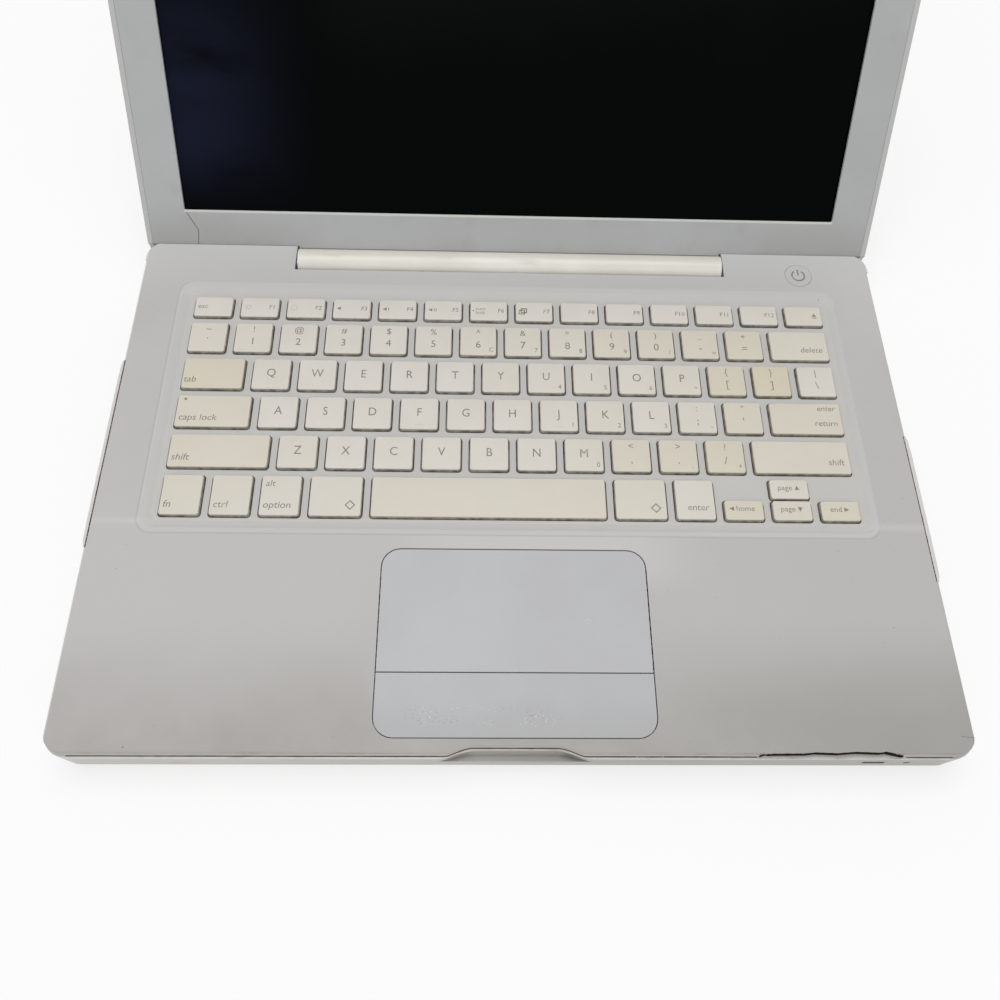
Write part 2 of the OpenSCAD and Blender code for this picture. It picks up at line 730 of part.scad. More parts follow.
arm_x = barrel_w / 2 - 20;
arm_w = 14;
module hinge_arm() {
  color("gray")
    swung()
      difference() {
        union() {
          rod_x(arm_x, arm_x + arm_w, axis_y, axis_z, 4.2);
          block(arm_x, arm_x + arm_w, axis_y - 2.4, axis_y + 2.4, axis_z, lid_under + 3);
          block(arm_x, arm_x + arm_w, axis_y - 12.5, axis_y + 2.4, lid_under + 1.6, lid_under + 3.6);
        }
        rod_x(arm_x - 1, arm_x + arm_w + 1, axis_y, axis_z, hinge_pin_r + pin_fit);
      }
}

module hinge_arm_left() mirror([1, 0, 0]) hinge_arm();

module hinge_arm_right() hinge_arm();

module clutch_cover() {
  color("ivory")
    swung()
      difference() {
        rod_x(-barrel_w / 2, barrel_w / 2, axis_y, axis_z, barrel_r);
        rod_x(-barrel_w / 2 + 1.2, barrel_w / 2 - 1.2, axis_y, axis_z, barrel_r - 1.1);
        rod_x(-barrel_w / 2 - 1, barrel_w / 2 + 1, axis_y, axis_z, hinge_pin_r + fit);
        block(-barrel_w, barrel_w, axis_y - 10, axis_y + 10, lid_under, lid_under + 10);
      }
}

// the lid's outer form, shrunk by g on its sides
module lid_form(z0, z1, g = 0) {
  intersection() {
    translate([0, 0, z0]) linear_extrude(z1 - z0)
      polygon(round_rect(-half_w + g, front_y + g, half_w - g, lid_rear_y - g, corner_r - g, 4));
    along_y(front_y, rear_y)
      polygon(round_rect(-half_w + g, lid_under - 5, half_w - g, lid_top, 1, lid_edge_r - g / 2));
    along_x(-half_w, half_w)
      polygon(round_rect(front_y + g, lid_under - 5, lid_rear_y - g, lid_top, 1, lid_edge_r - g / 2));
  }
}

// cylinders around the hinge axis beside the barrel
module beside_barrel(r) both_sides() rod_x(slot_x - 0.8, half_w + 1, axis_y, axis_z, r);

lid_rim = 2.2;
module lid_cover() {
  color("white")
    swung()
      difference() {
        lid_form(lid_under, lid_top);
        lid_form(lid_under - 1, lid_top - wall, lid_rim);
        beside_barrel(cove_r);
      }
}

bezel_t = 1.2;
screen_y1 = lid_rear_y - bezel_chin;
screen_y0 = screen_y1 - screen_h;
bezel_crack = [[-143.6, -12.7], [-139.4, -5.4], [-140.2, 1.5], [-139.9, 1.5], [-139.1, -5.5],
               [-143.3, -12.9]];
module display_bezel() {
  color("gainsboro")
    swung()
      difference() {
        union() {
          lid_form(lid_under, lid_under + bezel_t, lid_rim + 0.1);
          intersection() {
            beside_barrel(cove_r + wall);
            lid_form(lid_under, lid_top - wall - 0.1, lid_rim + 0.1);
          }
        }
        beside_barrel(cove_r);
        plate(-screen_w / 2, screen_y0, screen_w / 2, screen_y1, 0.5, lid_under - 1,
              lid_under + bezel_t + 1, 3);
        both_sides()
          block(arm_x - 0.5, arm_x + arm_w + 0.5, axis_y - 3.5, axis_y + 3.5, lid_under - 1, lid_top);
        post(0, screen_y0 - 7.5, lid_under - 1, lid_under + 3, 1.7);
        post(9, screen_y0 - 7.5, lid_under - 1, lid_under + 3, 0.5);
        translate([0, screen_y1 + 13.9, lid_under - 1]) linear_extrude(1.7) polygon(bezel_crack);
      }
}

module bezel_bumpers() {
  color("white")
    swung()
      both_sides()
        block(84, 136, front_y + lid_rim + 0.4, front_y + lid_rim + 1.9, lid_under - 0.5, lid_under);
}

module lcd_panel() {
  color("black")
    swung()
      difference() {
        block(-screen_w / 2 - 5, screen_w / 2 + 5, screen_y0 - 4, screen_y1 + 6,
              lid_under + bezel_t + 0.1, lid_top - wall - 0.1);
        block(-screen_w / 2 - 1, screen_w / 2 + 1, screen_y0 - 1, screen_y1 + 1, lid_under,
              lid_under + bezel_t + 0.5);
      }
}

inverter_x = barrel_w / 2 - 34.6;   // half its length, between the hinge arms
module inverter_board() {
  color("darkgreen")
    swung() block(-inverter_x, inverter_x, screen_y1 + 7, screen_y1 + 13, lid_under + bezel_t + 0.1,
                lid_top - wall - 0.6);
}

module camera_module() {
  color("black")
    swung() {
      block(-20, 20, screen_y0 - 10.5, screen_y0 - 4.6, lid_under + bezel_t + 0.1,
            lid_top - wall - 0.6);
      post(0, screen_y0 - 7.5, lid_under + 0.2, lid_under + bezel_t + 0.1, 1.5);
    }
}

bottom_case();
top_case();
rubber_feet();
case_screws();
battery();
battery_latch();
logic_board();
heat_sink();
fan_housing();
fan_rotor();
hard_drive();
optical_drive();
memory_modules();
wireless_card();
speakers();
power_inlet();
ethernet_jack();
video_port();
serial_port();
usb_ports();
audio_jacks();
infrared_window();
sleep_light();
power_switch_board();
power_button();
trackpad_frame();
trackpad_plate();
trackpad_button();
keyboard_plate();
keys(k_function);  // function_keys
keys(k_number);  // number_keys
keys(k_delete);  // key_delete
keys(k_tab);  // key_tab
keys(k_upper);  // letter_keys_upper
keys(k_caps);  // key_caps_lock
keys(k_home);  // letter_keys_home
keys(k_return);  // key_return
keys(k_shift_l);  // key_shift_left
keys(k_lower);  // letter_keys_lower
keys(k_shift_r);  // key_shift_right
keys(k_modifier);  // modifier_keys
keys(k_command_l);  // key_command_left
keys(k_space);  // key_space
keys(k_command_r);  // key_command_right
keys(k_enter);  // key_enter
keys(k_left);  // key_arrow_left
keys(k_up);  // key_arrow_up
keys(k_down);  // key_arrow_down
keys(k_right);  // key_arrow_right
hinge_bracket_left();
hinge_bracket_right();
hinge_arm_left();
hinge_arm_right();
clutch_cover();
lid_cover();
display_bezel();
bezel_bumpers();
lcd_panel();
inverter_board();
camera_module();
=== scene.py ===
"""Open notebook computer in worn white plastic: its finishes, key caps, legends and damage."""

import json
import math
import random

import bmesh
import bpy
from mathutils import Euler, Matrix, Vector


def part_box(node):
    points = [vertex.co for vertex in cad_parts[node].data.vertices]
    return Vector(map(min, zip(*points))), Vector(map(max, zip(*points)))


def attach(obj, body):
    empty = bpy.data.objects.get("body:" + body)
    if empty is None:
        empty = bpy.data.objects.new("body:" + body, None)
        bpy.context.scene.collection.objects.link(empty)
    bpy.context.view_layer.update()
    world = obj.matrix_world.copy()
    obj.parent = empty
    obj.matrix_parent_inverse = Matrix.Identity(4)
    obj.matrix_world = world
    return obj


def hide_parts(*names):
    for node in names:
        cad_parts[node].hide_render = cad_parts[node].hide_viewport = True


MM = 0.001
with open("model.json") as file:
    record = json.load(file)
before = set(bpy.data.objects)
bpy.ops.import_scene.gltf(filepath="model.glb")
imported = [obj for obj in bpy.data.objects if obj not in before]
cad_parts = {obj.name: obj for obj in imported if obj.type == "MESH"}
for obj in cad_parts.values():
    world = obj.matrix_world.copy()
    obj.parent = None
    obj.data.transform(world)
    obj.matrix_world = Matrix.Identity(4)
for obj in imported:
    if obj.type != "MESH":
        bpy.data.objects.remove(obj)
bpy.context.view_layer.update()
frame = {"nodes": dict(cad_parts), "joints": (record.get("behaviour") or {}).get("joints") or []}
nodes = frame["nodes"]
rng = random.Random(7)


# ---- places, worked out from the frame where it can, the rest given -----------------------

deck_lo, deck_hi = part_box("top_case")
deck_z = deck_hi.z
deck_front = deck_lo.y
tray_lo, tray_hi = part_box("bottom_case")
half_w = tray_hi.x
front_y = tray_lo.y
seam_z = tray_hi.z
hinge = next(j for j in frame["joints"] if j["name"] == "lid_hinge")
axis_y, axis_z = hinge["pos_m"][1], hinge["pos_m"][2]
OPEN_ANGLE = math.radians(126)
BEZEL_OFF = 4.3 * MM  # hinge axis to the display frame's face
SCREEN_LOW = 21.35 * MM  # hinge axis to the lower edge of the screen
SCREEN_HALF = 144.3 * MM
BARREL_TOP = 5.3 * MM  # hinge axis to where the display frame shows above the hinge cover
DECK_HALF = half_w - (deck_front - front_y)

# the dish around the keys, which the plate under it overlaps by a little on every side
PLATE_LAP = 1.5 * MM
plate_lo, plate_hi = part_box("keyboard_plate")
DISH_LEFT, DISH_FRONT = plate_lo.x + PLATE_LAP, plate_lo.y + PLATE_LAP
DISH_RIGHT, DISH_BACK = plate_hi.x - PLATE_LAP, plate_hi.y - PLATE_LAP

# where the deck is cracked: x of the crack, and its ends along y
LEFT_CRACK = (-half_w + 1.47 * MM, -36.9 * MM, 46.7 * MM)
RIGHT_CRACK = (half_w - 1.83 * MM, -48.4 * MM, 15 * MM)


# ---- camera and lamps ---------------------------------------------------------------------


def add_camera():
    data = bpy.data.cameras.new("camera")
    data.lens = 31.44
    data.sensor_width = 36
    data.clip_start = 10 * MM
    cam = bpy.data.objects.new("camera", data)
    place = (-15.1 * MM, -162.6 * MM, deck_z + 307.5 * MM)
    turn = Euler([math.radians(a) for a in (25.488, -1.75, -0.179)])
    cam.matrix_world = Matrix.Translation(place) @ turn.to_matrix().to_4x4()
    bpy.context.scene.collection.objects.link(cam)
    bpy.context.scene.camera = cam


def add_lamp(name, place, aim, size, power):
    data = bpy.data.lights.new(name, "AREA")
    data.shape = "RECTANGLE"
    data.size, data.size_y = size
    data.energy = power
    lamp = bpy.data.objects.new(name, data)
    lamp.location = place
    lamp.rotation_euler = (Vector(aim) - Vector(place)).to_track_quat("-Z", "Y").to_euler()
    bpy.context.scene.collection.objects.link(lamp)


# ---- shader arithmetic --------------------------------------------------------------------


class Value:
    """A shader socket that takes part in sums and products."""

    def __init__(self, tree, socket):
        self.tree, self.socket = tree, socket

    def calc(self, operation, *others, clamp=False):
        node = self.tree.nodes.new("ShaderNodeMath")
        node.operation = operation
        node.use_clamp = clamp
        for place, item in zip(node.inputs, others, strict=False):
            if isinstance(item, Value):
                self.tree.links.new(item.socket, place)
            else:
                place.default_value = item
        return Value(self.tree, node.outputs[0])

    def __add__(self, other):
        return self.calc("ADD", self, other)

    def __sub__(self, other):
        return self.calc("SUBTRACT", self, other)

    def __rsub__(self, other):
        return self.calc("SUBTRACT", other, self)

    def __mul__(self, other):
        return self.calc("MULTIPLY", self, other)

    def __pow__(self, other):
        return self.calc("POWER", self, other)

    __radd__ = __add__
    __rmul__ = __mul__

    def clamped(self):
        return self.calc("ADD", self, 0.0, clamp=True)

    def step(self, low, high):
        """0 below low, 1 above high, a smooth ramp between."""
        node = self.tree.nodes.new("ShaderNodeMapRange")
        node.interpolation_type = "SMOOTHSTEP"
        self.tree.links.new(self.socket, node.inputs["Value"])
        node.inputs["From Min"].default_value = low
        node.inputs["From Max"].default_value = high
        return Value(self.tree, node.outputs["Result"])

    def between(self, low, high, soft):
        """1 from low to high, with ramps of half width soft at both ends."""
        return self.step(low - soft, low + soft) * (1 - self.step(high - soft, high + soft))


class Finish:
    """A material built from object coordinates, so that its pattern stays on the piece."""

    def __init__(self, name):
        self.material = bpy.data.materials.new(name)
        self.material.use_nodes = True
        self.tree = self.material.node_tree
        self.shader = self.tree.nodes["Principled BSDF"]
        self.place = self.add("ShaderNodeTexCoord").outputs["Object"]
        split = self.add("ShaderNodeSeparateXYZ", Vector=self.place)
        self.x, self.y, self.z = (Value(self.tree, s) for s in split.outputs)

    def add(self, kind, settings=None, **inputs):
        node = self.tree.nodes.new(kind)
        for key, item in (settings or {}).items():
            setattr(node, key, item)
        for key, item in inputs.items():
            socket = node.inputs[key]
            if isinstance(item, Value):
                self.tree.links.new(item.socket, socket)
            elif isinstance(item, bpy.types.NodeSocket):
                self.tree.links.new(item, socket)
            else:
                socket.default_value = item
        return node

    def stretched(self, x, y, z):
        node = self.add("ShaderNodeMapping", Vector=self.place)
        node.inputs["Scale"].default_value = (x, y, z)
        return node.outputs[0]

    def noise(self, scale, detail=3.0, place=None):
        node = self.add("ShaderNodeTexNoise", Vector=place or self.place)
        node.inputs["Scale"].default_value = scale
        node.inputs["Detail"].default_value = detail
        node.inputs["Roughness"].default_value = 0.55
        return Value(self.tree, node.outputs["Fac"])

    def cells(self, scale, place=None):
        node = self.add("ShaderNodeTexVoronoi", {"feature": "F1"}, Vector=place or self.place)
        node.inputs["Scale"].default_value = scale
        return Value(self.tree, node.outputs["Distance"])

    def attribute(self, name):
        node = self.add("ShaderNodeAttribute", {"attribute_name": name})
        return Value(self.tree, node.outputs["Fac"])

    def beyond(self, x0, y0, x1, y1, r):
        """Distance outside a rectangle with round corners, seen from above; negative inside."""
        squares = []
        for place, low, high in ((self.x, x0, x1), (self.y, y0, y1)):
            d = place - (low + high) / 2
            d = d.calc("ABSOLUTE", d) - ((high - low) / 2 - r)
            squares.append(d.calc("MAXIMUM", d, 0.0) ** 2)
        return (squares[0] + squares[1]) ** 0.5 - r

    def mix(self, amount, first, second):
        """Colour mix; first and second are colour tuples or sockets."""
        node = self.add("ShaderNodeMix", {"data_type": "RGBA"})
        self.tree.links.new(amount.socket, node.inputs["Factor"])
        for socket, item in ((node.inputs[6], first), (node.inputs[7], second)):
            if isinstance(item, bpy.types.NodeSocket):
                self.tree.links.new(item, socket)
            else:
                socket.default_value = (*item, 1)
        return node.outputs[2]

    def set(self, colour, rough, bump=None, height=0.0):
        """Puts in the colour, the roughness and, if given, a bump of this height."""
        for socket, item in (("Base Color", colour), ("Roughness", rough)):
            place = self.shader.inputs[socket]
            if isinstance(item, Value):
                self.tree.links.new(item.socket, place)
            elif isinstance(item, bpy.types.NodeSocket):
                self.tree.links.new(item, place)
            elif socket == "Base Color":
                place.default_value = (*item, 1)
            else:
                place.default_value = item
        if bump is not None:
            node = self.add("ShaderNodeBump", Height=bump)
            node.inputs["Distance"].default_value = height
            self.tree.links.new(node.outputs[0], self.shader.inputs["Normal"])
        return self

    def plain(self, **sockets):
        """Sets plain numbers on the shader's own sockets and returns the finished material."""
        for name, item in sockets.items():
            self.shader.inputs[name.replace("_", " ")].default_value = item
        return self.material


def linear(r, g, b):
    """A screen colour from 0 to 255 as the renderer's own light values."""

    def one(c):
        c /= 255
        return c / 12.92 if c <= 0.04045 else ((c + 0.055) / 1.055) ** 2.4

    return one(r), one(g), one(b)


# ---- finishes -----------------------------------------------------------------------------

DIRT = linear(112, 92, 70)
DARK_DIRT = linear(52, 44, 36)
SHADE = linear(84, 84, 78)


def deck_wear_and_shade(f):
    """Colour of the deck: cleaner and greyer places, with painted shade towards the front and the right
    front corner.
    """
    broad = f.noise(9, 4)
    patch = f.noise(34, 4)
    colour = f.mix(broad.step(0.35, 0.65), linear(187, 185, 184), linear(181, 179, 177))
    # grey palms on both sides of the trackpad: hand wear, with painted shade towards the front
    palm_wear_and_shade = f.y.step(-60 * MM, -112 * MM)
    colour = f.mix(palm_wear_and_shade * (0.55 + patch.step(0.2, 0.75) * 0.45), colour, linear(163, 160, 156))
    # brown line where hands rub the front edge
    lip = f.y.step(deck_front + 1.1 * MM, deck_front + 0.1 * MM) * f.noise(120, 4).step(0.45, 0.68)
    colour = f.mix(lip * 0.4, colour, DIRT)
    # painted shade, with some wear, towards the right front corner
    corner = f.x.step(20 * MM, 130 * MM) * f.y.step(-60 * MM, -108 * MM)
    colour = f.mix(corner * 0.6, colour, linear(150, 149, 146))
    # paler towards the hinge
    colour = f.mix(f.y.step(75 * MM, 108 * MM) * 0.6, colour, linear(190, 191, 191))
    # clean middle between the keys and the trackpad
    middle = f.x.between(-40 * MM, 60 * MM, 20 * MM)
    middle = middle * f.y.between(-50 * MM, DISH_FRONT + 6 * MM, 6 * MM)
    return f.mix(middle * 0.7, colour, linear(197, 195, 193))


def key_field(f, colour):
    """Pale field around the keys, wider than the dish, with a faint line of painted shade in front and on
    the left, and painted light on the dish's front slope.
    """
    x0, x1 = DISH_LEFT - 0.9 * MM, DISH_RIGHT
    y0, y1 = DISH_FRONT - 1.9 * MM, DISH_BACK + 2.9 * MM
    away = f.beyond(x0, y0, x1, y1, 6 * MM)
    colour = f.mix(away.step(0.4 * MM, -0.4 * MM), colour, linear(190, 189, 188))
    near_front = f.y.step(DISH_FRONT + 6 * MM, DISH_FRONT)
    near_left = f.x.step(DISH_LEFT + 6 * MM, DISH_LEFT)
    # painted shade: a faint dark line along the dish's front and left edges
    line = away.between(-0.1 * MM, 0.5 * MM, 0.2 * MM) * (near_front + near_left).clamped()
    colour = f.mix(line * 0.45, colour, linear(160, 158, 154))
    dish = f.z.step(deck_z - 0.2 * MM, deck_z - 1.1 * MM)
    colour = f.mix(dish, colour, linear(189, 188, 185))
    # painted light that lifts the shade on the dish's front slope
    painted_slope_light = f.y.between(DISH_FRONT + 1.5 * MM, DISH_FRONT + 4 * MM, 1.2 * MM)
    return f.mix(painted_slope_light * 0.3, colour, linear(206, 205, 202))


def deck_plastic():
    f = Finish("deck_plastic")
    colour = key_field(f, deck_wear_and_shade(f))
    # painted highlight on the edges at both sides, the left one stronger
    left_edge_highlight = f.x.step(-DECK_HALF + 1.1 * MM, -DECK_HALF + 0.6 * MM)
    right_edge_highlight = f.x.step(DECK_HALF - 0.7 * MM, DECK_HALF - 0.3 * MM)
    colour = f.mix(left_edge_highlight * 0.8 + right_edge_highlight * 0.5, colour, linear(210, 208, 206))
    # split-off strips outside the cracks are lighter
    for x, y0, y1 in (LEFT_CRACK, RIGHT_CRACK):
        outside = f.x.step(x, x + math.copysign(0.1 * MM, x))
        colour = f.mix(outside * f.y.between(y0, y1, 0.5 * MM), colour, linear(206, 203, 201))
    spots = f.cells(260).step(0.075, 0.035) * f.noise(21).step(0.55, 0.7)
    colour = f.mix(spots * 0.45, colour, DIRT)
    grain = f.noise(2600, 2) * 0.6 + f.noise(500, 3) * 0.4
    rough = 0.62 - f.noise(18, 4).step(0.4, 0.75) * 0.14
    return f.set(colour, rough, grain, 0.05 * MM).plain(Specular_IOR_Level=0.35)


def case_plastic():
    f = Finish("case_plastic")
    broad = f.noise(11, 4)
    colour = f.mix(broad.step(0.35, 0.65), linear(205, 204, 200), linear(194, 192, 187))
    rub = f.noise(60, 5, place=f.stretched(1, 7, 1)).step(0.62, 0.78)
    colour = f.mix(rub * 0.35, colour, linear(160, 155, 146))
    seam = f.z.step(seam_z - 1.0 * MM, seam_z - 0.1 * MM) * f.noise(140, 4).step(0.5, 0.7)
    colour = f.mix(seam * 0.3, colour, DIRT)
    # painted shade on the front wall, deeper towards the right
    front = f.y.step(front_y + 3.4 * MM, front_y + 1.6 * MM)
    front = front * f.z.step(seam_z - 0.5 * MM, seam_z - 1.8 * MM)
    colour = f.mix(front * 0.64, colour, linear(130, 127, 122))
    colour = f.mix(front * f.x.step(-120 * MM, 70 * MM) * 0.85, colour, linear(104, 102, 97))
    # dirt along the foot of the walls, hardly any on the underside itself
    inset, soft = 6 * MM, 4 * MM
    under = f.x.between(inset - half_w, half_w - inset, soft)
    under = under * f.y.between(front_y + inset, tray_hi.y - inset, soft)
    low = f.z.step(4.5 * MM, 1.2 * MM) * (1 - under * 0.88) * f.noise(90, 4).step(0.42, 0.7)
    colour = f.mix(low * 0.3, colour, DIRT)
    scratches = f.noise(300, 2, place=f.stretched(0.12, 1, 1)).step(0.63, 0.7)
    rough = 0.28 + scratches * 0.3 + broad * 0.08
    f.set(colour, rough, scratches * -1.0, 0.02 * MM)
    return f.plain(Coat_Weight=0.35, Coat_Roughness=0.12)


def lid_plastic():
    f = Finish("lid_plastic")
    broad = f.noise(8, 4)
    colour = f.mix(broad.step(0.35, 0.65), linear(208, 207, 204), linear(199, 197, 193))
    scuff = f.noise(26, 6).step(0.6, 0.74)
    colour = f.mix(scuff * 0.25, colour, linear(168, 164, 156))
    out = (f.y - axis_y) * math.sin(OPEN_ANGLE) + (f.z - axis_z) * math.cos(OPEN_ANGLE)
    rim = out.step(BEZEL_OFF + 1.6 * MM, BEZEL_OFF + 0.7 * MM)
    colour = f.mix(rim, colour, linear(180, 180, 179))
    fine = f.noise(420, 2, place=f.stretched(1, 0.1, 0.1)).step(0.64, 0.7)
    cross = f.noise(380, 2, place=f.stretched(0.08, 1, 1)).step(0.66, 0.71)
    marks = (fine + cross).clamped()
    rough = 0.22 + marks * 0.3 + scuff * 0.2
    f.set(colour, rough, marks * -1.0, 0.02 * MM)
    return f.plain(Coat_Weight=0.5, Coat_Roughness=0.1)


def bezel_plastic():
    f = Finish("bezel_plastic")
    broad = f.noise(14, 4)
    colour = f.mix(broad.step(0.35, 0.65), linear(178, 179, 180), linear(171, 172, 172))
    smudge = f.noise(70, 4).step(0.55, 0.75)
    colour = f.mix(smudge * 0.25, colour, linear(156, 153, 147))
    # greyer at both sides near the deck, and painted shade where it dips behind the deck
    side = f.x.step(-70 * MM, -120 * MM) + f.x.step(80 * MM, 130 * MM)
    colour = f.mix(f.z.step(deck_z + 16 * MM, deck_z) * side * 0.4, colour, linear(150, 150, 144))
    joint = f.z.step(deck_z - 2.2 * MM, deck_z - 2.8 * MM)
    colour = f.mix(joint * 0.85, colour, SHADE)
    # painted shade in the gap above the hinge cover
    along = (f.y - axis_y) * -math.cos(OPEN_ANGLE) + (f.z - axis_z) * math.sin(OPEN_ANGLE)
    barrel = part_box("clutch_cover")[1].x
    gap_shade = along.between(BARREL_TOP, BARREL_TOP + 0.5 * MM, 0.15 * MM)
    gap_shade = gap_shade * f.x.between(-barrel, barrel, 0.3 * MM)
    colour = f.mix(gap_shade * 0.7, colour, SHADE)
    # painted highlight on the lip under the screen
    lip = along.between(SCREEN_LOW - 0.8 * MM, SCREEN_LOW + 0.5 * MM, 0.25 * MM)
    lip = lip * f.x.between(-SCREEN_HALF, SCREEN_HALF, 0.5 * MM)
    colour = f.mix(lip * 0.8, colour, linear(216, 216, 212))
    grain = f.noise(2400, 2)
    return f.set(colour, 0.55 + broad * 0.1, grain, 0.03 * MM).plain(Specular_IOR_Level=0.35)


def key_plastic():
    f = Finish("key_plastic")
    yellow = f.attribute("yellow")
    # painted shade on the caps' sides and stems, with some dirt
    side_shade_and_dirt = f.attribute("skirt") * (0.6 + 0.4 * f.noise(300, 3).step(0.35, 0.65))
    broad = f.noise(55, 4)
    colour = f.mix(yellow, linear(211, 207, 200), linear(200, 193, 166))
    colour = f.mix(broad.step(0.35, 0.7) * 0.4, colour, linear(205, 196, 184))
    colour = f.mix(side_shade_and_dirt, colour, linear(108, 100, 88))
    spots = f.cells(420).step(0.08, 0.04) * f.noise(40).step(0.52, 0.7)
    colour = f.mix(spots * 0.35, colour, DIRT)
    rough = 0.5 - broad.step(0.45, 0.75) * 0.12
    return f.set(colour, rough, f.noise(1800, 2), 0.03 * MM).plain(Specular_IOR_Level=0.4)


def legend_ink():
    f = Finish("legend_ink")
    worn = f.noise(240, 3).step(0.5, 0.72)
    colour = f.mix(worn * 0.5, linear(128, 124, 117), linear(170, 165, 155))
    return f.set(colour, 0.55).plain(Specular_IOR_Level=0.3)


def clutch_plastic():
    f = Finish("clutch_plastic")
    broad = f.noise(30, 4)
    colour = f.mix(broad.step(0.35, 0.65), linear(221, 218, 210), linear(214, 210, 200))
    rub = f.noise(160, 4, place=f.stretched(0.2, 1, 1)).step(0.6, 0.75)
    colour = f.mix(rub * 0.3, colour, linear(180, 172, 154))
    f.set(colour, 0.4 + rub * 0.2, rub * -1.0, 0.01 * MM)
    return f.plain(Coat_Weight=0.35, Coat_Roughness=0.06)


def pad_plastic(name, shade):
    """Bluish grey of the trackpad; shade makes it lighter or darker."""
    f = Finish(name)
    broad = f.noise(24, 4)
    light_grey = linear(184 + shade, 185 + shade, 187 + shade)
    dark_grey = linear(180 + shade, 180 + shade, 182 + shade)
    colour = f.mix(broad.step(0.3, 0.7), light_grey, dark_grey)
    colour = f.mix(f.y.step(-90 * MM, -108 * MM) * 0.4, colour, linear(163, 163, 162))
    # worn specks along the button's middle
    lo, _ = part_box("trackpad_button")
    worn = f.y.between(lo.y + 4 * MM, lo.y + 10.5 * MM, 1.6 * MM)
    worn = worn * f.x.between(-38 * MM, 16 * MM, 6 * MM)
    flat = f.stretched(0.6, 1, 1)
    dark = f.cells(1150, flat).step(0.32, 0.14) * f.noise(120).step(0.4, 0.54)
    light = f.cells(1000, flat).step(0.3, 0.12) * f.noise(90).step(0.46, 0.58)
    colour = f.mix(worn * dark * 0.55, colour, linear(140, 134, 124))
    colour = f.mix(worn * light * 0.7, colour, linear(212, 212, 210))
    spots = f.cells(300).step(0.07, 0.03) * f.noise(27).step(0.55, 0.72)
    colour = f.mix(spots * 0.5, colour, DIRT)
    rough = 0.42 + f.noise(60, 4) * 0.16
    return f.set(colour, rough, f.noise(3000, 1), 0.02 * MM).plain(Specular_IOR_Level=0.35)


def screen_glass():
    f = Finish("screen_glass")
    # painted bluish sheen, a reflection, towards the upper left of the dark panel
    blue_sheen = f.x.step(-80 * MM, -140 * MM) * f.z.step(26 * MM, 55 * MM) * f.z.step(120 * MM, 70 * MM)
    sheen_streaks = f.noise(22, 4, place=f.stretched(1, 2, 2)).step(0.1, 0.55)
    colour = f.mix(blue_sheen * sheen_streaks, linear(4, 5, 5), linear(23, 26, 42))
    haze = f.noise(40, 5).step(0.5, 0.8)
    return f.set(colour, 0.14 + haze * 0.12).plain(Specular_IOR_Level=0.02)


def simple(name, light, dark, scale, rough, metal=0.0):
    """A finish mottled between two colours, with a fine grain."""
    f = Finish(name)
    broad = f.noise(scale, 4)
    colour = f.mix(broad.step(0.3, 0.7), light, dark)
    f.set(colour, rough + broad * 0.12, f.noise(scale * 12, 2), 0.02 * MM)
    return f.plain(Metallic=metal)


def grime():
    f = Finish("grime")
    broad = f.noise(220, 4)
    colour = f.mix(broad.step(0.35, 0.65), DIRT, DARK_DIRT)
    return f.set(colour, 0.85, broad, 0.1 * MM).plain(Specular_IOR_Level=0.1)


def shadow_black():
    f = Finish("shadow_black")
    colour = f.mix(f.noise(150, 3), linear(18, 16, 14), linear(40, 34, 28))
    return f.set(colour, 0.9).plain(Specular_IOR_Level=0.05)


MATERIALS = {
    "deck": deck_plastic(),
    "case": case_plastic(),
    "lid": lid_plastic(),
    "bezel": bezel_plastic(),
    "key": key_plastic(),
    "ink": legend_ink(),
    "clutch": clutch_plastic(),
    "pad": pad_plastic("pad_plastic", 0),
    "pad_button": pad_plastic("pad_button_plastic", -3),
    "screen": screen_glass(),
    "grime": grime(),
    "black_gap": shadow_black(),
    "rubber": simple("foot_rubber", linear(190, 190, 188), linear(165, 164, 160), 200, 0.7),
    "steel": simple("steel", linear(178, 178, 180), linear(150, 150, 152), 260, 0.3, 1.0),
    "aluminium": simple("aluminium", linear(196, 197, 199), linear(176, 177, 180), 180, 0.35, 1.0),
    "copper": simple("copper", linear(196, 132, 96), linear(158, 98, 66), 160, 0.3, 1.0),
    "board": simple("circuit_board", linear(24, 84, 54), linear(14, 58, 36), 300, 0.45),
    "black": simple("black_plastic", linear(36, 36, 37), linear(24, 24, 25), 220, 0.5),
    "smoke": simple("tinted_plastic", linear(30, 22, 26), linear(18, 14, 16), 220, 0.15),
    "scuff": simple("pale_scuff", linear(206, 207, 210), linear(196, 197, 200), 300, 0.6),
    "lens": simple("light_lens", linear(228, 228, 222), linear(212, 212, 206), 220, 0.25),
}

NODE_FINISH = {
    "bottom_case": "case", "top_case": "deck", "rubber_feet": "rubber", "case_screws": "steel",
    "battery": "case", "battery_latch": "aluminium", "logic_board": "board", "heat_sink": "copper",
    "fan_housing": "black", "fan_rotor": "black", "hard_drive": "aluminium", "optical_drive": "steel",
    "memory_modules": "board", "wireless_card": "board", "speakers": "black", "power_inlet": "steel",
    "ethernet_jack": "steel", "video_port": "steel", "serial_port": "steel", "usb_ports": "steel",
    "audio_jacks": "black", "infrared_window": "smoke", "sleep_light": "lens",
    "power_switch_board": "board", "power_button": "deck", "trackpad_frame": "steel",
    "trackpad_plate": "pad", "trackpad_button": "pad_button", "keyboard_plate": "aluminium",
    "hinge_bracket_left": "steel", "hinge_bracket_right": "steel", "hinge_arm_left": "steel",
    "hinge_arm_right": "steel", "clutch_cover": "clutch", "lid_cover": "lid",
    "display_bezel": "bezel", "bezel_bumpers": "bezel", "lcd_panel": "screen",
    "inverter_board": "board", "camera_module": "smoke",
}


def dress(node, finish):
    piece = nodes[node]
    piece.data.materials.clear()
    piece.data.materials.append(MATERIALS[finish])


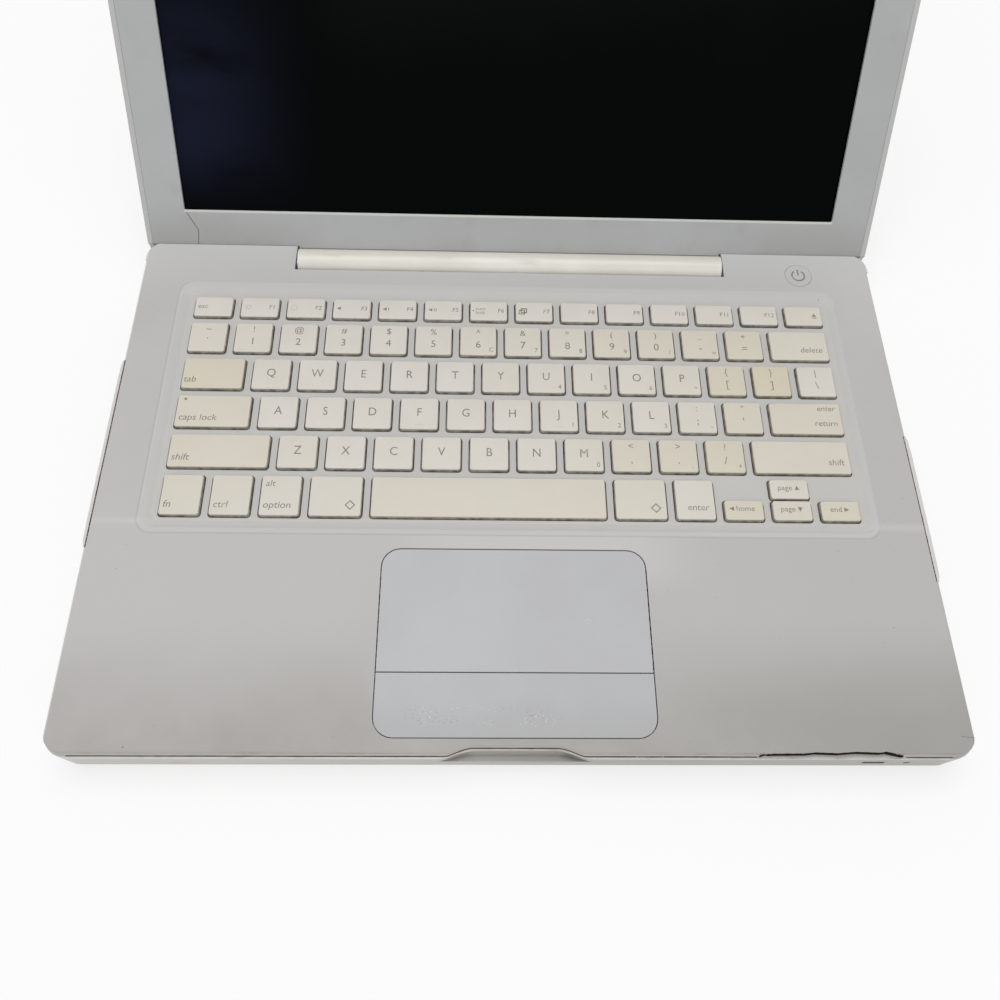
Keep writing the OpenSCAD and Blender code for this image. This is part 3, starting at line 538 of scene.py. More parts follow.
def soften(node, width):
    """Rounds a CAD node's sharp edges a little, without touching its mesh."""
    piece = nodes[node]
    weld = piece.modifiers.new("weld", "WELD")
    weld.merge_threshold = 0.002 * MM
    bevel = piece.modifiers.new("bevel", "BEVEL")
    bevel.width = width
    bevel.segments = 2
    bevel.limit_method = "ANGLE"
    bevel.angle_limit = math.radians(35)
    bevel.use_clamp_overlap = True


# ---- making pieces ------------------------------------------------------------------------


def new_piece(name, mesh, body, finish):
    """Adds a mesh to the scene as a piece that moves with a body."""
    piece = bpy.data.objects.new(name, mesh)
    mesh.materials.clear()
    mesh.materials.append(MATERIALS[finish])
    bpy.context.scene.collection.objects.link(piece)
    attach(piece, body)
    return piece


def mesh_of(name, bm, smooth_angle=None):
    """Turns a bmesh into a mesh, smooth up to an angle in degrees if one is given."""
    mesh = bpy.data.meshes.new(name)
    bm.to_mesh(mesh)
    bm.free()
    if smooth_angle is not None:
        for poly in mesh.polygons:
            poly.use_smooth = True
        mesh.set_sharp_from_angle(angle=math.radians(smooth_angle))
    return mesh


def round_outline(x0, y0, x1, y1, r, steps=4):
    """Points of a rectangle with round corners, anticlockwise."""
    pts = []
    corners = ((x1 - r, y1 - r), (x0 + r, y1 - r), (x0 + r, y0 + r), (x1 - r, y0 + r))
    for (cx, cy), start in zip(corners, (0, 90, 180, 270), strict=True):
        for i in range(steps + 1):
            a = math.radians(start + 90 * i / steps)
            pts.append((cx + r * math.cos(a), cy + r * math.sin(a)))
    return pts


def loft(bm, rings):
    """Joins rings of equal length with quads and caps both ends."""
    made = [[bm.verts.new(p) for p in ring] for ring in rings]
    for low, high in zip(made, made[1:], strict=False):
        n = len(low)
        for i in range(n):
            bm.faces.new((low[i], low[(i + 1) % n], high[(i + 1) % n], high[i]))
    bm.faces.new(list(reversed(made[0])))
    bm.faces.new(made[-1])
    return made


CAP_H = 3.7 * MM  # height of a cap
KEY_GAP = 3.1 * MM
STEM_R = 2.3 * MM
WIDE_CAP = 60 * MM  # a cap wider than this stands on two stems

# rings of a cap from its lower rim upwards: inset, drop below its top, and how much painted shade, with
# some dirt, lies there
CAP_RINGS = [
    (0.0, CAP_H, 1.0),
    (0.02 * MM, 1.75 * MM, 1.0),
    (0.1 * MM, 1.3 * MM, 1.0),
    (0.3 * MM, 0.5 * MM, 0.75),
    (0.36 * MM, 0.26 * MM, 0.3),
    (0.47 * MM, 0.1 * MM, 0.08),
    (0.64 * MM, 0.02 * MM, 0.0),
    (0.9 * MM, 0.0, 0.0),
]


def cap_mesh(name, width, depth, stem_low):
    """One key cap with its stem, centred on x and y 0, with its top at z 0."""
    bm = bmesh.new()
    layer = bm.verts.layers.float.new("skirt")
    rings = []
    for inset, drop, _ in CAP_RINGS:
        x, low, high = width / 2 - inset, -depth / 2 + inset, depth / 2 - inset * 0.4
        r = max(1.25 * MM - inset * 0.5, 0.5 * MM)
        rings.append([(px, py, -drop) for px, py in round_outline(-x, low, x, high, r)])
    for ring, (_, _, shade_and_dirt) in zip(loft(bm, rings), CAP_RINGS, strict=True):
        for v in ring:
            v[layer] = shade_and_dirt
    stems = (-width / 3, width / 3) if width > WIDE_CAP else (0,)
    turns = [2 * math.pi * i / 16 for i in range(16)]
    for x in stems:
        circle = [(x + STEM_R * math.cos(a), STEM_R * math.sin(a)) for a in turns]
        stem = [[(px, py, z) for px, py in circle] for z in (stem_low, -CAP_H + 0.1 * MM)]
        for v in loft(bm, stem)[0]:
            v[layer] = 1.0
    return mesh_of(name, bm, 50)


ROW_INPUTS = {"Cap": "Object", "Count": "Int", "Pitch": "Float", "Start": "Vector", "Finish": "Material"}


def row_tree():
    """Geometry Nodes: copies of a cap along X."""
    tree = bpy.data.node_groups.new("row_of_keys", "GeometryNodeTree")
    face = tree.interface
    face.new_socket("Geometry", in_out="INPUT", socket_type="NodeSocketGeometry")
    for name, kind in ROW_INPUTS.items():
        face.new_socket(name, in_out="INPUT", socket_type="NodeSocket" + kind)
    face.new_socket("Geometry", in_out="OUTPUT", socket_type="NodeSocketGeometry")
    add = tree.nodes.new
    link = tree.links.new
    given = add("NodeGroupInput")
    result = add("NodeGroupOutput")
    line = add("GeometryNodeMeshLine")
    cap = add("GeometryNodeObjectInfo")
    put = add("GeometryNodeInstanceOnPoints")
    step = add("ShaderNodeCombineXYZ")
    real = add("GeometryNodeRealizeInstances")
    paint = add("GeometryNodeSetMaterial")
    link(given.outputs["Pitch"], step.inputs["X"])
    link(given.outputs["Count"], line.inputs["Count"])
    link(given.outputs["Start"], line.inputs["Start Location"])
    link(step.outputs[0], line.inputs["Offset"])
    link(given.outputs["Cap"], cap.inputs["Object"])
    link(line.outputs[0], put.inputs["Points"])
    link(cap.outputs["Geometry"], put.inputs["Instance"])
    link(put.outputs[0], real.inputs[0])
    link(real.outputs[0], paint.inputs["Geometry"])
    link(given.outputs["Finish"], paint.inputs["Material"])
    link(paint.outputs[0], result.inputs[0])
    return tree


def run_tree(tree, name, given):
    """Runs a Geometry Nodes tree on an empty mesh and returns the plain mesh that comes out."""
    holder = bpy.data.objects.new(name, bpy.data.meshes.new(name))
    bpy.context.scene.collection.objects.link(holder)
    modifier = holder.modifiers.new("nodes", "NODES")
    modifier.node_group = tree
    ids = {s.name: s.identifier for s in tree.interface.items_tree if s.in_out == "INPUT"}
    for key, item in given.items():
        modifier[ids[key]] = item
    graph = bpy.context.evaluated_depsgraph_get()
    mesh = bpy.data.meshes.new_from_object(holder.evaluated_get(graph), depsgraph=graph)
    bpy.data.objects.remove(holder)
    mesh.name = name
    return mesh


# how yellow each key has gone, from 0 to 1, by node and place in its row
YELLOWED = {
    "function_keys": {11: 0.1, 12: 0.05, 13: 0.2},
    "number_keys": {0: 0.2, 1: 0.2, 5: 0.1, 6: 0.15, 7: 0.25, 8: 0.15, 9: 0.35, 10: 0.4, 11: 0.45, 12: 0.5},
    "key_delete": {0: 0.2}, "key_tab": {0: 0.6}, "key_caps_lock": {0: 0.35}, "key_return": {0: 0.4},
    "letter_keys_upper": {0: 0.1, 5: 0.15, 6: 0.1, 7: 0.1, 9: 0.15, 10: 0.6, 11: 0.7, 12: 0.05},
    "letter_keys_home": {7: 0.2, 9: 0.15, 10: 0.45},
    "letter_keys_lower": {0: 0.15, 6: 0.2, 7: 0.4, 8: 0.45, 9: 0.55},
    "key_shift_left": {0: 0.35}, "key_shift_right": {0: 0.3}, "key_space": {0: 0.25},
    "modifier_keys": {0: 0.25, 1: 0.15, 2: 0.15}, "key_command_left": {0: 0.15},
    "key_command_right": {0: 0.25}, "key_enter": {0: 0.05}, "key_arrow_left": {0: 0.5},
    "key_arrow_up": {0: 0.15}, "key_arrow_down": {0: 0.3}, "key_arrow_right": {0: 0.45},
}
KEY_COUNT = {
    "function_keys": 14, "number_keys": 13, "letter_keys_upper": 13, "letter_keys_home": 11,
    "letter_keys_lower": 10, "modifier_keys": 3,
}


def key_cells(node):
    """(x0, x1, y0, y1) of every cap in a key node."""
    lo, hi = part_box(node)
    count = KEY_COUNT.get(node, 1)
    pitch = (hi.x - lo.x + KEY_GAP) / count
    return [(lo.x + i * pitch, lo.x + (i + 1) * pitch - KEY_GAP, lo.y, hi.y) for i in range(count)]


RIDGE_W, RIDGE_D = 3.2 * MM, 0.6 * MM
RIDGE_RINGS = [(0.0, -0.05 * MM), (0.0, 0.12 * MM), (0.12 * MM, 0.22 * MM)]  # inset, height


def with_ridges(mesh, cells, top):
    """Adds the small raised bar that marks a home key."""
    bm = bmesh.new()
    bm.from_mesh(mesh)
    for x0, x1, y0, _ in cells:
        x, y = (x0 + x1) / 2, y0 + 2.6 * MM
        rings = []
        for inset, h in RIDGE_RINGS:
            a, b = RIDGE_W / 2 - inset, RIDGE_D / 2 - inset
            outline = round_outline(x - a, y - b, x + a, y + b, 0.15 * MM, 2)
            rings.append([(px, py, top + h) for px, py in outline])
        loft(bm, rings)
    bm.to_mesh(mesh)
    bm.free()
    return mesh


def make_keys(tree):
    """A row of new caps in place of each key node, each cap yellowed in its own way."""
    for node in YELLOWED:
        lo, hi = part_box(node)
        cells = key_cells(node)
        count = len(cells)
        x0, x1, y0, y1 = cells[0]
        proto = bpy.data.objects.new("cap", cap_mesh("cap", x1 - x0, y1 - y0, lo.z - hi.z))
        bpy.context.scene.collection.objects.link(proto)
        pitch = cells[1][0] - x0 if count > 1 else 0.0
        start = ((x0 + x1) / 2, (y0 + y1) / 2, hi.z)
        given = {"Cap": proto, "Count": count, "Pitch": pitch, "Start": start, "Finish": MATERIALS["key"]}
        mesh = run_tree(tree, node + "_caps", given)
        bpy.data.objects.remove(proto)
        tint = mesh.attributes.new("yellow", "FLOAT", "POINT")
        shades = [YELLOWED[node].get(i, 0.0) + rng.uniform(0.0, 0.1) for i in range(count)]
        for v in mesh.vertices:
            i = int((v.co.x - lo.x + KEY_GAP / 2) / pitch) if pitch else 0
            tint.data[v.index].value = shades[max(0, min(i, count - 1))]
        if node == "letter_keys_home":
            mesh = with_ridges(mesh, [cells[3], cells[6]], hi.z)
        piece = new_piece(node + "_caps", mesh, node, "key")
        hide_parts(node)


# ---- legends ------------------------------------------------------------------------------

INK_H = 0.02 * MM
texts = []  # (text object, body)


def write(body, words, x, y, size, align="CENTER", squeeze=1.0, slant=0.0):
    """Queues a legend on top of a body's keys, with its middle height at y."""
    data = bpy.data.curves.new("legend", "FONT")
    data.body = words
    data.size = size
    data.align_x = align
    data.align_y = "CENTER"
    data.extrude = INK_H
    data.resolution_u = 3
    data.shear = slant
    text = bpy.data.objects.new("legend", data)
    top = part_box(body)[1].z
    text.matrix_world = Matrix.Translation((x, y, top)) @ Matrix.Diagonal((squeeze, 1, 1, 1))
    bpy.context.scene.collection.objects.link(text)
    texts.append((text, body))


def shape(body, outline, x, y, size):
    """Queues a small flat sign on top of a body's keys, given as points in a unit square."""
    bm = bmesh.new()
    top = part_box(body)[1].z
    low = [(x + px * size, y + py * size, top - INK_H) for px, py in outline]
    high = [(px, py, top + INK_H) for px, py, _ in low]
    loft(bm, [low, high])
    piece = bpy.data.objects.new("sign", mesh_of("sign", bm))
    bpy.context.scene.collection.objects.link(piece)
    texts.append((piece, body))


def gather_legends():
    """Turns all queued legends into one mesh for each body."""
    bpy.context.view_layer.update()
    graph = bpy.context.evaluated_depsgraph_get()
    joined = {}
    for text, body in texts:
        mesh = bpy.data.meshes.new_from_object(text.evaluated_get(graph), depsgraph=graph)
        mesh.transform(text.matrix_world)
        bm = joined.setdefault(body, bmesh.new())
        bm.from_mesh(mesh)
        bpy.data.meshes.remove(mesh)
    for text, _ in texts:
        bpy.data.objects.remove(text)
    for body, bm in joined.items():
        new_piece("legends_" + body, mesh_of("legends_" + body, bm), body, "ink")


LEFT_ARROW = [(-0.5, 0), (0.4, -0.45), (0.4, 0.45)]
RIGHT_ARROW = [(0.5, 0), (-0.4, 0.45), (-0.4, -0.45)]
UP_ARROW = [(-0.45, -0.4), (0.45, -0.4), (0, 0.5)]
DOWN_ARROW = [(-0.45, 0.4), (0, -0.5), (0.45, 0.4)]
DIAMOND = [(0, -0.6), (0.45, 0), (0, 0.6), (-0.45, 0)]
BAR = [(-0.5, -0.1), (0.5, -0.1), (0.5, 0.1), (-0.5, 0.1)]
UPRIGHT = [(-0.1, -0.5), (0.1, -0.5), (0.1, 0.5), (-0.1, 0.5)]
DOT = [(math.cos(math.radians(30 * k)) / 2, math.sin(math.radians(30 * k)) / 2) for k in range(12)]

WORD = 4.1 * MM
LETTER = 5.4 * MM
DIGIT = 4.9 * MM
SMALL = 3.0 * MM
EDGE = 1.6 * MM  # from a cap's side to the words along it
SLANT = 0.12


def write_function_key(i, x0, x1, y):
    """Legend and sign of one key of the top row, whose signs stand at height y."""
    node = "function_keys"
    if i == 0:
        write(node, "esc", x0 + EDGE, y, SMALL * 1.1, "LEFT", slant=0.1)
    elif i < 13:
        write(node, f"F{i}", x1 - EDGE, y, SMALL, "RIGHT", slant=0.1)
    if i in (1, 2):
        ray = (0.7 + 0.3 * i) * MM
        for k in range(8):
            a = math.radians(45 * k)
            x = x0 + 3.4 * MM + math.cos(a) * ray
            shape(node, DIAMOND, x, y + math.sin(a) * ray, 0.42 * MM)
    if i in (3, 4, 5):
        shape(node, LEFT_ARROW, x0 + 2.8 * MM, y, 1.9 * MM)
        for k in range(i - 3):
            shape(node, UPRIGHT, x0 + (4.4 + k * 0.8) * MM, y, 1.5 * MM)
    if i == 6:
        write(node, "num", x0 + 2.6 * MM, y + 1.0 * MM, SMALL * 0.8, "LEFT")
        write(node, "lock", x0 + 2.6 * MM, y - 1.1 * MM, SMALL * 0.8, "LEFT")
        shape(node, DOT, x0 + 1.7 * MM, y, 0.7 * MM)
    if i == 7:
        for k in (0, 1):
            x, mid = x0 + (3.0 + k * 0.9) * MM, y + (k * 0.8 - 0.4) * MM
            for side in (-1, 1):
                shape(node, BAR, x, mid + side * 1.0 * MM, 2.6 * MM)
                shape(node, UPRIGHT, x + side * 1.2 * MM, mid, 2.0 * MM)
    if i == 13:
        shape(node, UP_ARROW, x1 - 3.6 * MM, y + 0.5 * MM, 2.1 * MM)
        shape(node, BAR, x1 - 3.6 * MM, y - 1.0 * MM, 2.1 * MM)


def write_letters():
    """Letters, or two signs one above the other, and the small number pad signs in the corners."""
    main = {
        "number_keys": ["~`", "!1", "@2", "#3", "$4", "%5", "^6", "&7", "*8", "(9", ")0", "_-", "+="],
        "letter_keys_upper": [*"QWERTYUIOP", "{[", "}]", "|\\"],
        "letter_keys_home": [*"ASDFGHJKL", ":;", "\"'"],
        "letter_keys_lower": [*"ZXCVBNM", "<,", ">.", "?/"],
    }
    corner = {
        "number_keys": {6: "C", 7: "7", 8: "8", 9: "9", 10: "/", 11: "="},
        "letter_keys_upper": {6: "4", 7: "5", 8: "6", 9: "*"},
        "letter_keys_home": {6: "1", 7: "2", 8: "3", 9: "-"},
        "letter_keys_lower": {6: "0", 8: ".", 9: "+"},
    }
    for node, signs in main.items():
        for i, ((x0, x1, y0, y1), sign) in enumerate(zip(key_cells(node), signs, strict=True)):
            x, y = (x0 + x1) / 2, (y0 + y1) / 2
            if len(sign) == 1:
                write(node, sign, x, y + 0.6 * MM, LETTER, squeeze=0.9)
            else:
                write(node, sign[0], x, y + 4.2 * MM, DIGIT * 0.85)
                write(node, sign[1], x, y - 1.9 * MM, DIGIT)
            if i in corner[node]:
                write(node, corner[node][i], x1 - 2.4 * MM, y0 + 3.2 * MM, SMALL)


def write_words():
    """Words on the wide keys around the letters."""
    words = {
        "key_delete": ("delete", "RIGHT"), "key_tab": ("tab", "LEFT"),
        "key_caps_lock": ("caps lock", "LEFT"), "key_shift_left": ("shift", "LEFT"),
        "key_shift_right": ("shift", "RIGHT"), "key_enter": ("enter", "RIGHT"),
    }
    for node, (word, side) in words.items():
        x0, x1, y0, _ = key_cells(node)[0]
        x = x0 + EDGE if side == "LEFT" else x1 - 2.8 * MM
        if word == "tab":
            x -= 0.6 * MM
        size, lift = (WORD, 4.6 * MM) if side == "LEFT" else (WORD * 0.95, 5.4 * MM)
        write(node, word, x, y0 + lift, size, side, slant=SLANT)
    node = "key_return"
    _, x1, y0, y1 = key_cells(node)[0]
    write(node, "enter", x1 - 2.4 * MM, y1 - 2.6 * MM, WORD * 0.86, "RIGHT", slant=SLANT)
    write(node, "return", x1 - 2.2 * MM, y0 + 5.4 * MM, WORD * 0.92, "RIGHT", slant=SLANT)
    node = "modifier_keys"
    for (x0, _, y0, y1), word in zip(key_cells(node), ("fn", "ctrl", "option"), strict=True):
        write(node, word, x0 + EDGE, y0 + 4.7 * MM, WORD, "LEFT", slant=SLANT)
        if word == "option":
            write(node, "alt", x0 + EDGE + 0.3 * MM, y1 - 3.6 * MM, WORD * 0.92, "LEFT", slant=SLANT)


def draw_signs():
    """Outlined diamonds, arrows with their words, and the small dark lamp of the caps lock key."""
    for node in ("key_command_left", "key_command_right"):
        _, x1, y0, _ = key_cells(node)[0]
        for sx, sy in ((1, 1), (-1, 1), (-1, -1), (1, -1)):
            side = [(0.5 * sx, 0), (0, 0.5 * sy), (0, 0.36 * sy), (0.36 * sx, 0)]
            if sx * sy < 0:
                side.reverse()
            shape(node, side, x1 - 4.6 * MM, y0 + 5.0 * MM, 4.2 * MM)
    # word, arrow, and how far to the right of the middle the arrow stands
    arrows = {
        "key_arrow_left": ("home", LEFT_ARROW, -4.3 * MM),
        "key_arrow_right": ("end", RIGHT_ARROW, 3.0 * MM),
        "key_arrow_up": ("page", UP_ARROW, 3.7 * MM),
        "key_arrow_down": ("page", DOWN_ARROW, 3.7 * MM),
    }
    for node, (word, arrow, right) in arrows.items():
        x0, x1, y0, y1 = key_cells(node)[0]
        x, y = (x0 + x1) / 2 - 0.6 * MM, (y0 + y1) / 2 + 0.7 * MM
        write(node, word, x - math.copysign(1.1 * MM, right), y, WORD * 0.8)
        shape(node, arrow, x + right, y, 2.1 * MM)
    x0, _, _, y1 = key_cells("key_caps_lock")[0]
    shape("key_caps_lock", DOT, x0 + 3.4 * MM, y1 - 1.9 * MM, 1.2 * MM)


def write_all():
    for i, (x0, x1, y0, _) in enumerate(key_cells("function_keys")):
        write_function_key(i, x0, x1, y0 + 5.4 * MM)
    write_letters()
    write_words()
    draw_signs()


def power_sign():
    """Ring with a gap and a bar, on the power button."""
    lo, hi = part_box("power_button")
    x, y = (lo.x + hi.x) / 2, (lo.y + hi.y) / 2
    r, thick, low, high = 2.8 * MM, 0.36 * MM, 0.2 * MM, 3.4 * MM
    turns = [math.radians(a) for a in range(125, 416, 10)]
    outer = [((r + thick) * math.cos(a), (r + thick) * math.sin(a)) for a in turns]
    inner = [((r - thick) * math.cos(a), (r - thick) * math.sin(a)) for a in reversed(turns)]
    bar = [(-thick, low), (thick, low), (thick, high), (-thick, high)]
    bm = bmesh.new()
    for pts in (outer + inner, bar):
        loft(bm, [[(x + px, y + py, hi.z + h) for px, py in pts] for h in (-INK_H, INK_H)])
    new_piece("power_sign", mesh_of("power_sign", bm), "power_button", "ink")


# ---- damage and dirt ----------------------------------------------------------------------


def strip(bm, points, heights, low, thick):
    """A thin upright wall along points in plan, of changing height, for dirt, painted shade and scratches.
    """
    rings = []
    for i, ((x, y), h) in enumerate(zip(points, heights, strict=True)):
        a, b = points[max(i - 1, 0)], points[min(i + 1, len(points) - 1)]
        d = Vector((b[0] - a[0], b[1] - a[1])).normalized()
        nx, ny = -d.y * thick / 2, d.x * thick / 2
        sides = ((1, 0), (-1, 0), (-1, h), (1, h))
        rings.append([(x + side * nx, y + side * ny, low + up) for side, up in sides])
    loft(bm, rings)


def make_dirt_and_shade_piece(name, bm, finish):
    """Makes a piece on the base out of strips or flat specks."""
    bmesh.ops.recalc_face_normals(bm, faces=bm.faces)
    new_piece(name, mesh_of(name, bm), "base", finish)


def crack_lines():
    """Brown dirt in the long cracks beside the keyboard, and a hairline by the right front corner."""
    bm = bmesh.new()
    n = 60
    for x, y0, y1 in (LEFT_CRACK, RIGHT_CRACK):
        for i in range(n):
            a = y0 + (y1 - y0) * i / n
            b = y0 + (y1 - y0) * (i + rng.uniform(0.6, 1.25)) / n
            wide = rng.uniform(0.14, 0.34) * MM
            strip(bm, [(x, a), (x, min(b, y1))], [0.62 * MM] * 2, deck_z - 0.6 * MM, wide)
    points = [(DECK_HALF - (5.2 - i * 1.2) * MM, front_y + (7.4 - i * 0.12) * MM) for i in range(5)]
    strip(bm, points, [0.035 * MM] * 5, deck_z - 0.02 * MM, 0.09 * MM)
    make_dirt_and_shade_piece("crack_dirt", bm, "grime")


# thumb notch: half width at the wall and at its bottom, depth; and how far the deck stands back
NOTCH_OUT, NOTCH_IN, NOTCH_D = 27.5 * MM, 13.4 * MM, 2.8 * MM
DECK_IN = deck_front - front_y


def deck_edge(x):
    """y of the deck's front edge, which curves back around the thumb notch."""
    t = (NOTCH_OUT + DECK_IN - abs(x)) / (NOTCH_OUT - NOTCH_IN)
    t = max(0.0, min(t, 1.0))
    return max(deck_front, front_y + (NOTCH_D + DECK_IN) * (1 - math.cos(math.pi * t)) / 2)


# broken front edge of the palm rest, in mm: x, and how far back the deck has gone
CHIP = [
    (84.6, 0.1), (86, 0.35), (90, 0.6), (101, 0.7), (104, 1.1),
    (112, 0.8), (118.5, 1.3), (127, 1.0), (129, 1.3), (135.6, -0.15),
]
CHIP_FROM, CHIP_TO = 84 * MM, 137 * MM  # where the chip's own shadow stands in for the seam dirt


def front_seam():
    """Dirt packed along the seam under the deck's front edge, with gaps where it was rubbed off."""
    bm = bmesh.new()
    x, end = -half_w + 9 * MM, half_w - 9 * MM
    while x < end:
        run = min(rng.uniform(6, 26) * MM, end - x)
        if x < CHIP_FROM < x + run:
            run = CHIP_FROM - x
        if CHIP_FROM - 0.5 * MM < x < CHIP_TO:
            x = CHIP_TO
            continue
        n = max(3, int(run / (0.8 * MM)))
        # tallest right of the middle, low beyond the chip
        tall = rng.uniform(0.5, 1.1) * MM
        if x > CHIP_FROM:
            tall *= 0.5
        elif x > 20 * MM:
            tall *= 1.3
        points = [(x + run * i / n, deck_edge(x + run * i / n) - 0.12 * MM) for i in range(n + 1)]
        heights = [tall * rng.uniform(0.35, 0.5) for _ in points]
        strip(bm, points, heights, seam_z - 0.02 * MM, 0.3 * MM)
        x += run + rng.choice((0.0, 0.0, 0.0, 0.4)) * MM + 0.001 * MM
    make_dirt_and_shade_piece("seam_dirt", bm, "grime")


def chip_shadow():
    """The dark gap that the broken edge has opened above the tray's rim."""
    bm = bmesh.new()
    points = []
    for (x0, d0), (x1, d1) in zip(CHIP, CHIP[1:], strict=False):
        n = max(1, int((x1 - x0) / 0.7))
        for i in range(n):
            d = d0 + (d1 - d0) * i / n
            points.append(((x0 + (x1 - x0) * i / n) * MM, deck_front + (d - 0.16) * MM))
    low = seam_z + 0.38 * MM
    heights = [deck_z - low - rng.uniform(0.0, 0.5) * MM for _ in points]
    strip(bm, points, heights, low, 0.36 * MM)
    make_dirt_and_shade_piece("chip_shadow", bm, "black_gap")


def pad_gap_dirt():
    """Dark broken strips in the upright gaps beside the trackpad."""
    lo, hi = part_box("trackpad_plate")
    bm = bmesh.new()
    for x in (lo.x - 0.17 * MM, hi.x + 0.17 * MM):
        y = lo.y + 1 * MM
        while y < hi.y - 7 * MM:
            run = rng.uniform(0.6, 2.2) * MM
            wide = rng.uniform(0.16, 0.34) * MM
            strip(bm, [(x, y), (x, y + run)], [0.5 * MM] * 2, deck_z - 0.52 * MM, wide)
            y += run + rng.uniform(0.5, 3.0) * MM
    make_dirt_and_shade_piece("pad_gap_dirt", bm, "black_gap")


def pad_scratch():
    """Small pale scratch right of the middle of the trackpad: two short bent strokes."""
    bm = bmesh.new()
    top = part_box("trackpad_plate")[1].z
    upper = [(25.6, -64.9), (26.9, -64.1), (28.4, -64.9)]
    lower = [(26.0, -66.0), (27.1, -65.4), (27.9, -65.9)]
    for points in (upper, lower):
        places = [(x * MM, y * MM) for x, y in points]
        strip(bm, places, [0.03 * MM] * 3, top - 0.01 * MM, 0.12 * MM)
    make_dirt_and_shade_piece("pad_scratch", bm, "scuff")


def split_strips():
    """The strips of the deck's rim that stand apart outside the long cracks, thinner at their ends."""
    bm = bmesh.new()
    bottom, top = seam_z - 0.2 * MM, deck_z - 0.05 * MM
    for x, y0, y1 in (LEFT_CRACK, RIGHT_CRACK):
        side = math.copysign(1, x)
        inner, outer = abs(x) + 0.2 * MM, half_w - 0.02 * MM
        rings = []
        # place along y, and how far the strip has thinned there
        front = ((y0, 0.7), (y0 + 2.5 * MM, 0.15), (y0 + 12 * MM, 0))
        back = ((y1 - 9 * MM, 0), (y1 - 2 * MM, 0.2), (y1, 0.75))
        for y, thin in front + back:
            left = 1 - thin * 0.8
            edge = outer - (outer - inner) * (1 - left)
            outline = round_outline(inner, bottom, edge, top, 0.25 * MM * left, 3)
            rings.append([(side * px, y, pz) for px, pz in outline])
        loft(bm, rings)
    bmesh.ops.recalc_face_normals(bm, faces=bm.faces)
    new_piece("split_strips", mesh_of("split_strips", bm, 40), "base", "deck")


# single specks of dirt on the deck, in mm: x, y and size
SPECKS = [
    (-133.7, -110.4, 0.5), (-124.4, -103.3, 0.3), (-147.9, -45.7, 0.4), (-146.0, -36.0, 0.35),
    (136.6, 84.2, 0.45), (140.4, -66.6, 0.35), (75.0, -55.5, 0.25), (-151.0, 72.0, 0.3),
    (-150.5, 66.0, 0.35), (97.0, -71.0, 0.3), (60.5, -108.0, 0.3), (-63.0, -107.0, 0.3),
    (147.0, 5.0, 0.25), (-90.0, -52.0, 0.2), (118.0, -94.0, 0.25),
]


def specks():
    bm = bmesh.new()
    for x, y, size in SPECKS:
        outline = []
        for k in range(9):
            a, r = math.radians(40 * k), size * rng.uniform(0.6, 1.1) / 2
            outline.append(((x + r * math.cos(a)) * MM, (y + r * math.sin(a)) * MM))
        loft(bm, [[(px, py, deck_z + h * MM) for px, py in outline] for h in (-0.02, 0.02)])
    make_dirt_and_shade_piece("specks", bm, "grime")


# ---- floor and background -----------------------------------------------------------------


def background_rays(tree):
    """1 for a ray that sees the background itself, in a gloss or through glass, and 0 for the rest."""
    rays = tree.nodes.new("ShaderNodeLightPath")
    seen = Value(tree, rays.outputs["Is Camera Ray"])
    for kind in ("Is Glossy Ray", "Is Transmission Ray"):
        seen = seen + Value(tree, rays.outputs[kind])
    return seen.clamped()


def blend(tree, output, amount, first, second):
    """Sends a mix of two shaders to a new output node."""
    out = tree.nodes.new(output)
    mix = tree.nodes.new("ShaderNodeMixShader")
    tree.links.new(amount.socket, mix.inputs[0])
    tree.links.new(first.outputs[0], mix.inputs[1])
    tree.links.new(second.outputs[0], mix.inputs[2])
    tree.links.new(mix.outputs[0], out.inputs["Surface"])


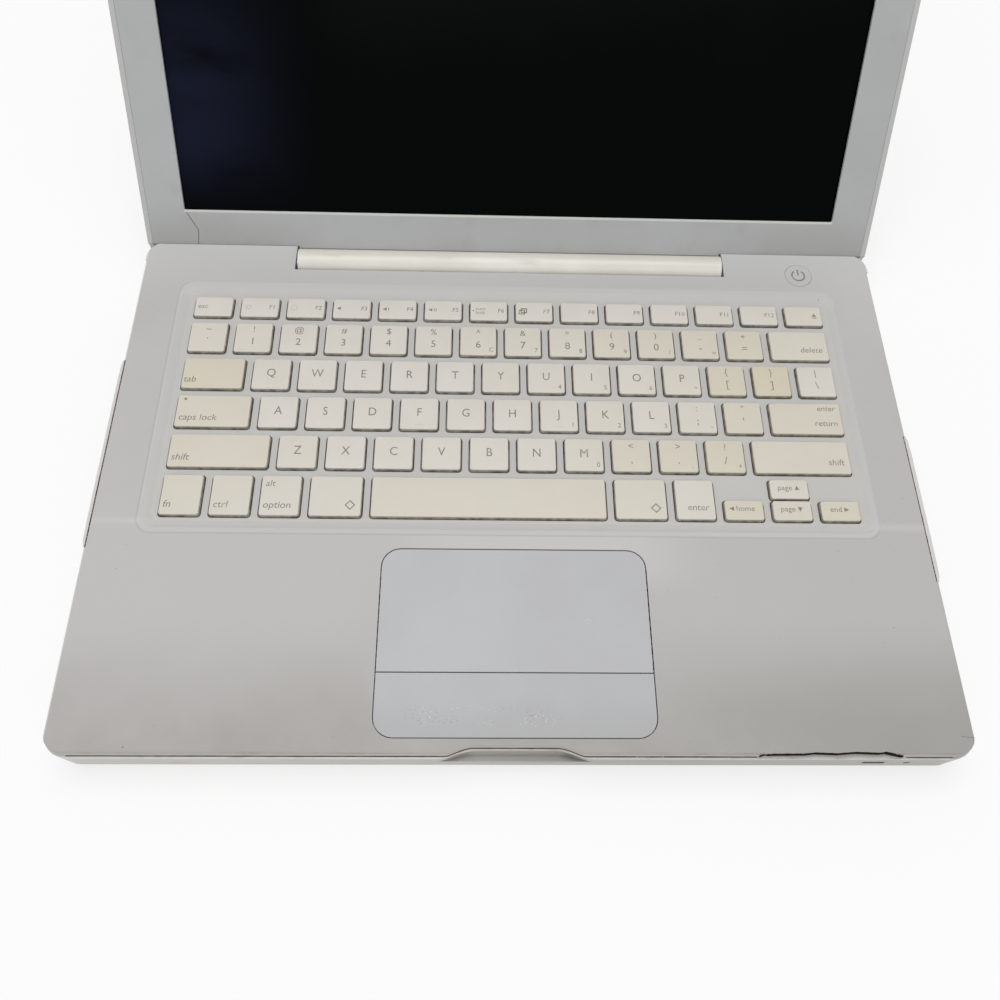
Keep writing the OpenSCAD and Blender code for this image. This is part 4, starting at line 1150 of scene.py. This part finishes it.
def lay_floor():
    """Plain white floor: mostly its own glow for rays that see it, matt white for all others."""
    bm = bmesh.new()
    bmesh.ops.create_grid(bm, x_segments=2, y_segments=2, size=3)
    floor = bpy.data.objects.new("floor", mesh_of("floor", bm))
    material = bpy.data.materials.new("floor_white")
    material.use_nodes = True
    tree = material.node_tree
    tree.nodes.clear()
    matt = tree.nodes.new("ShaderNodeBsdfDiffuse")
    matt.inputs["Color"].default_value = (0.9, 0.9, 0.9, 1)
    glow = tree.nodes.new("ShaderNodeEmission")
    glow.inputs["Strength"].default_value = 1.0
    blend(tree, "ShaderNodeOutputMaterial", background_rays(tree) * 0.7, matt, glow)
    floor.data.materials.append(material)
    bpy.context.scene.collection.objects.link(floor)


ROOM_LIGHT = 0.565  # strength of the white all round as light on the object


def light_world():
    """White all round, dimmer as light than as background."""
    world = bpy.data.worlds.new("studio")
    bpy.context.scene.world = world
    world.use_nodes = True
    tree = world.node_tree
    tree.nodes.clear()
    shades = []
    for strength in (ROOM_LIGHT, 1.0):
        shade = tree.nodes.new("ShaderNodeBackground")
        shade.inputs["Color"].default_value = (1, 1, 1, 1)
        shade.inputs["Strength"].default_value = strength
        shades.append(shade)
    blend(tree, "ShaderNodeOutputWorld", background_rays(tree), *shades)


# ---- build --------------------------------------------------------------------------------

# width by which the sharp edges of each node are rounded
SOFTENED = {
    "top_case": 0.18 * MM, "bottom_case": 0.25 * MM, "lid_cover": 0.3 * MM,
    "display_bezel": 0.2 * MM, "trackpad_plate": 0.15 * MM, "trackpad_button": 0.15 * MM,
    "power_button": 0.15 * MM, "battery": 0.2 * MM, "rubber_feet": 0.3 * MM,
}

add_camera()
lay_floor()
light_world()
add_lamp("softbox_top", (-0.12, 0.25, 1.3), (0, 0.0, 0), (1.2, 0.8), 7.5)
add_lamp("softbox_front", (0.15, -0.7, 1.1), (0, 0.05, 0), (1.0, 0.6), 2.5)

for node, finish in NODE_FINISH.items():
    dress(node, finish)
for node, width in SOFTENED.items():
    soften(node, width)

make_keys(row_tree())
write_all()
gather_legends()
power_sign()
crack_lines()
front_seam()
chip_shadow()
pad_gap_dirt()
pad_scratch()
split_strips()
specks()

bpy.context.scene.view_settings.view_transform = "Standard"
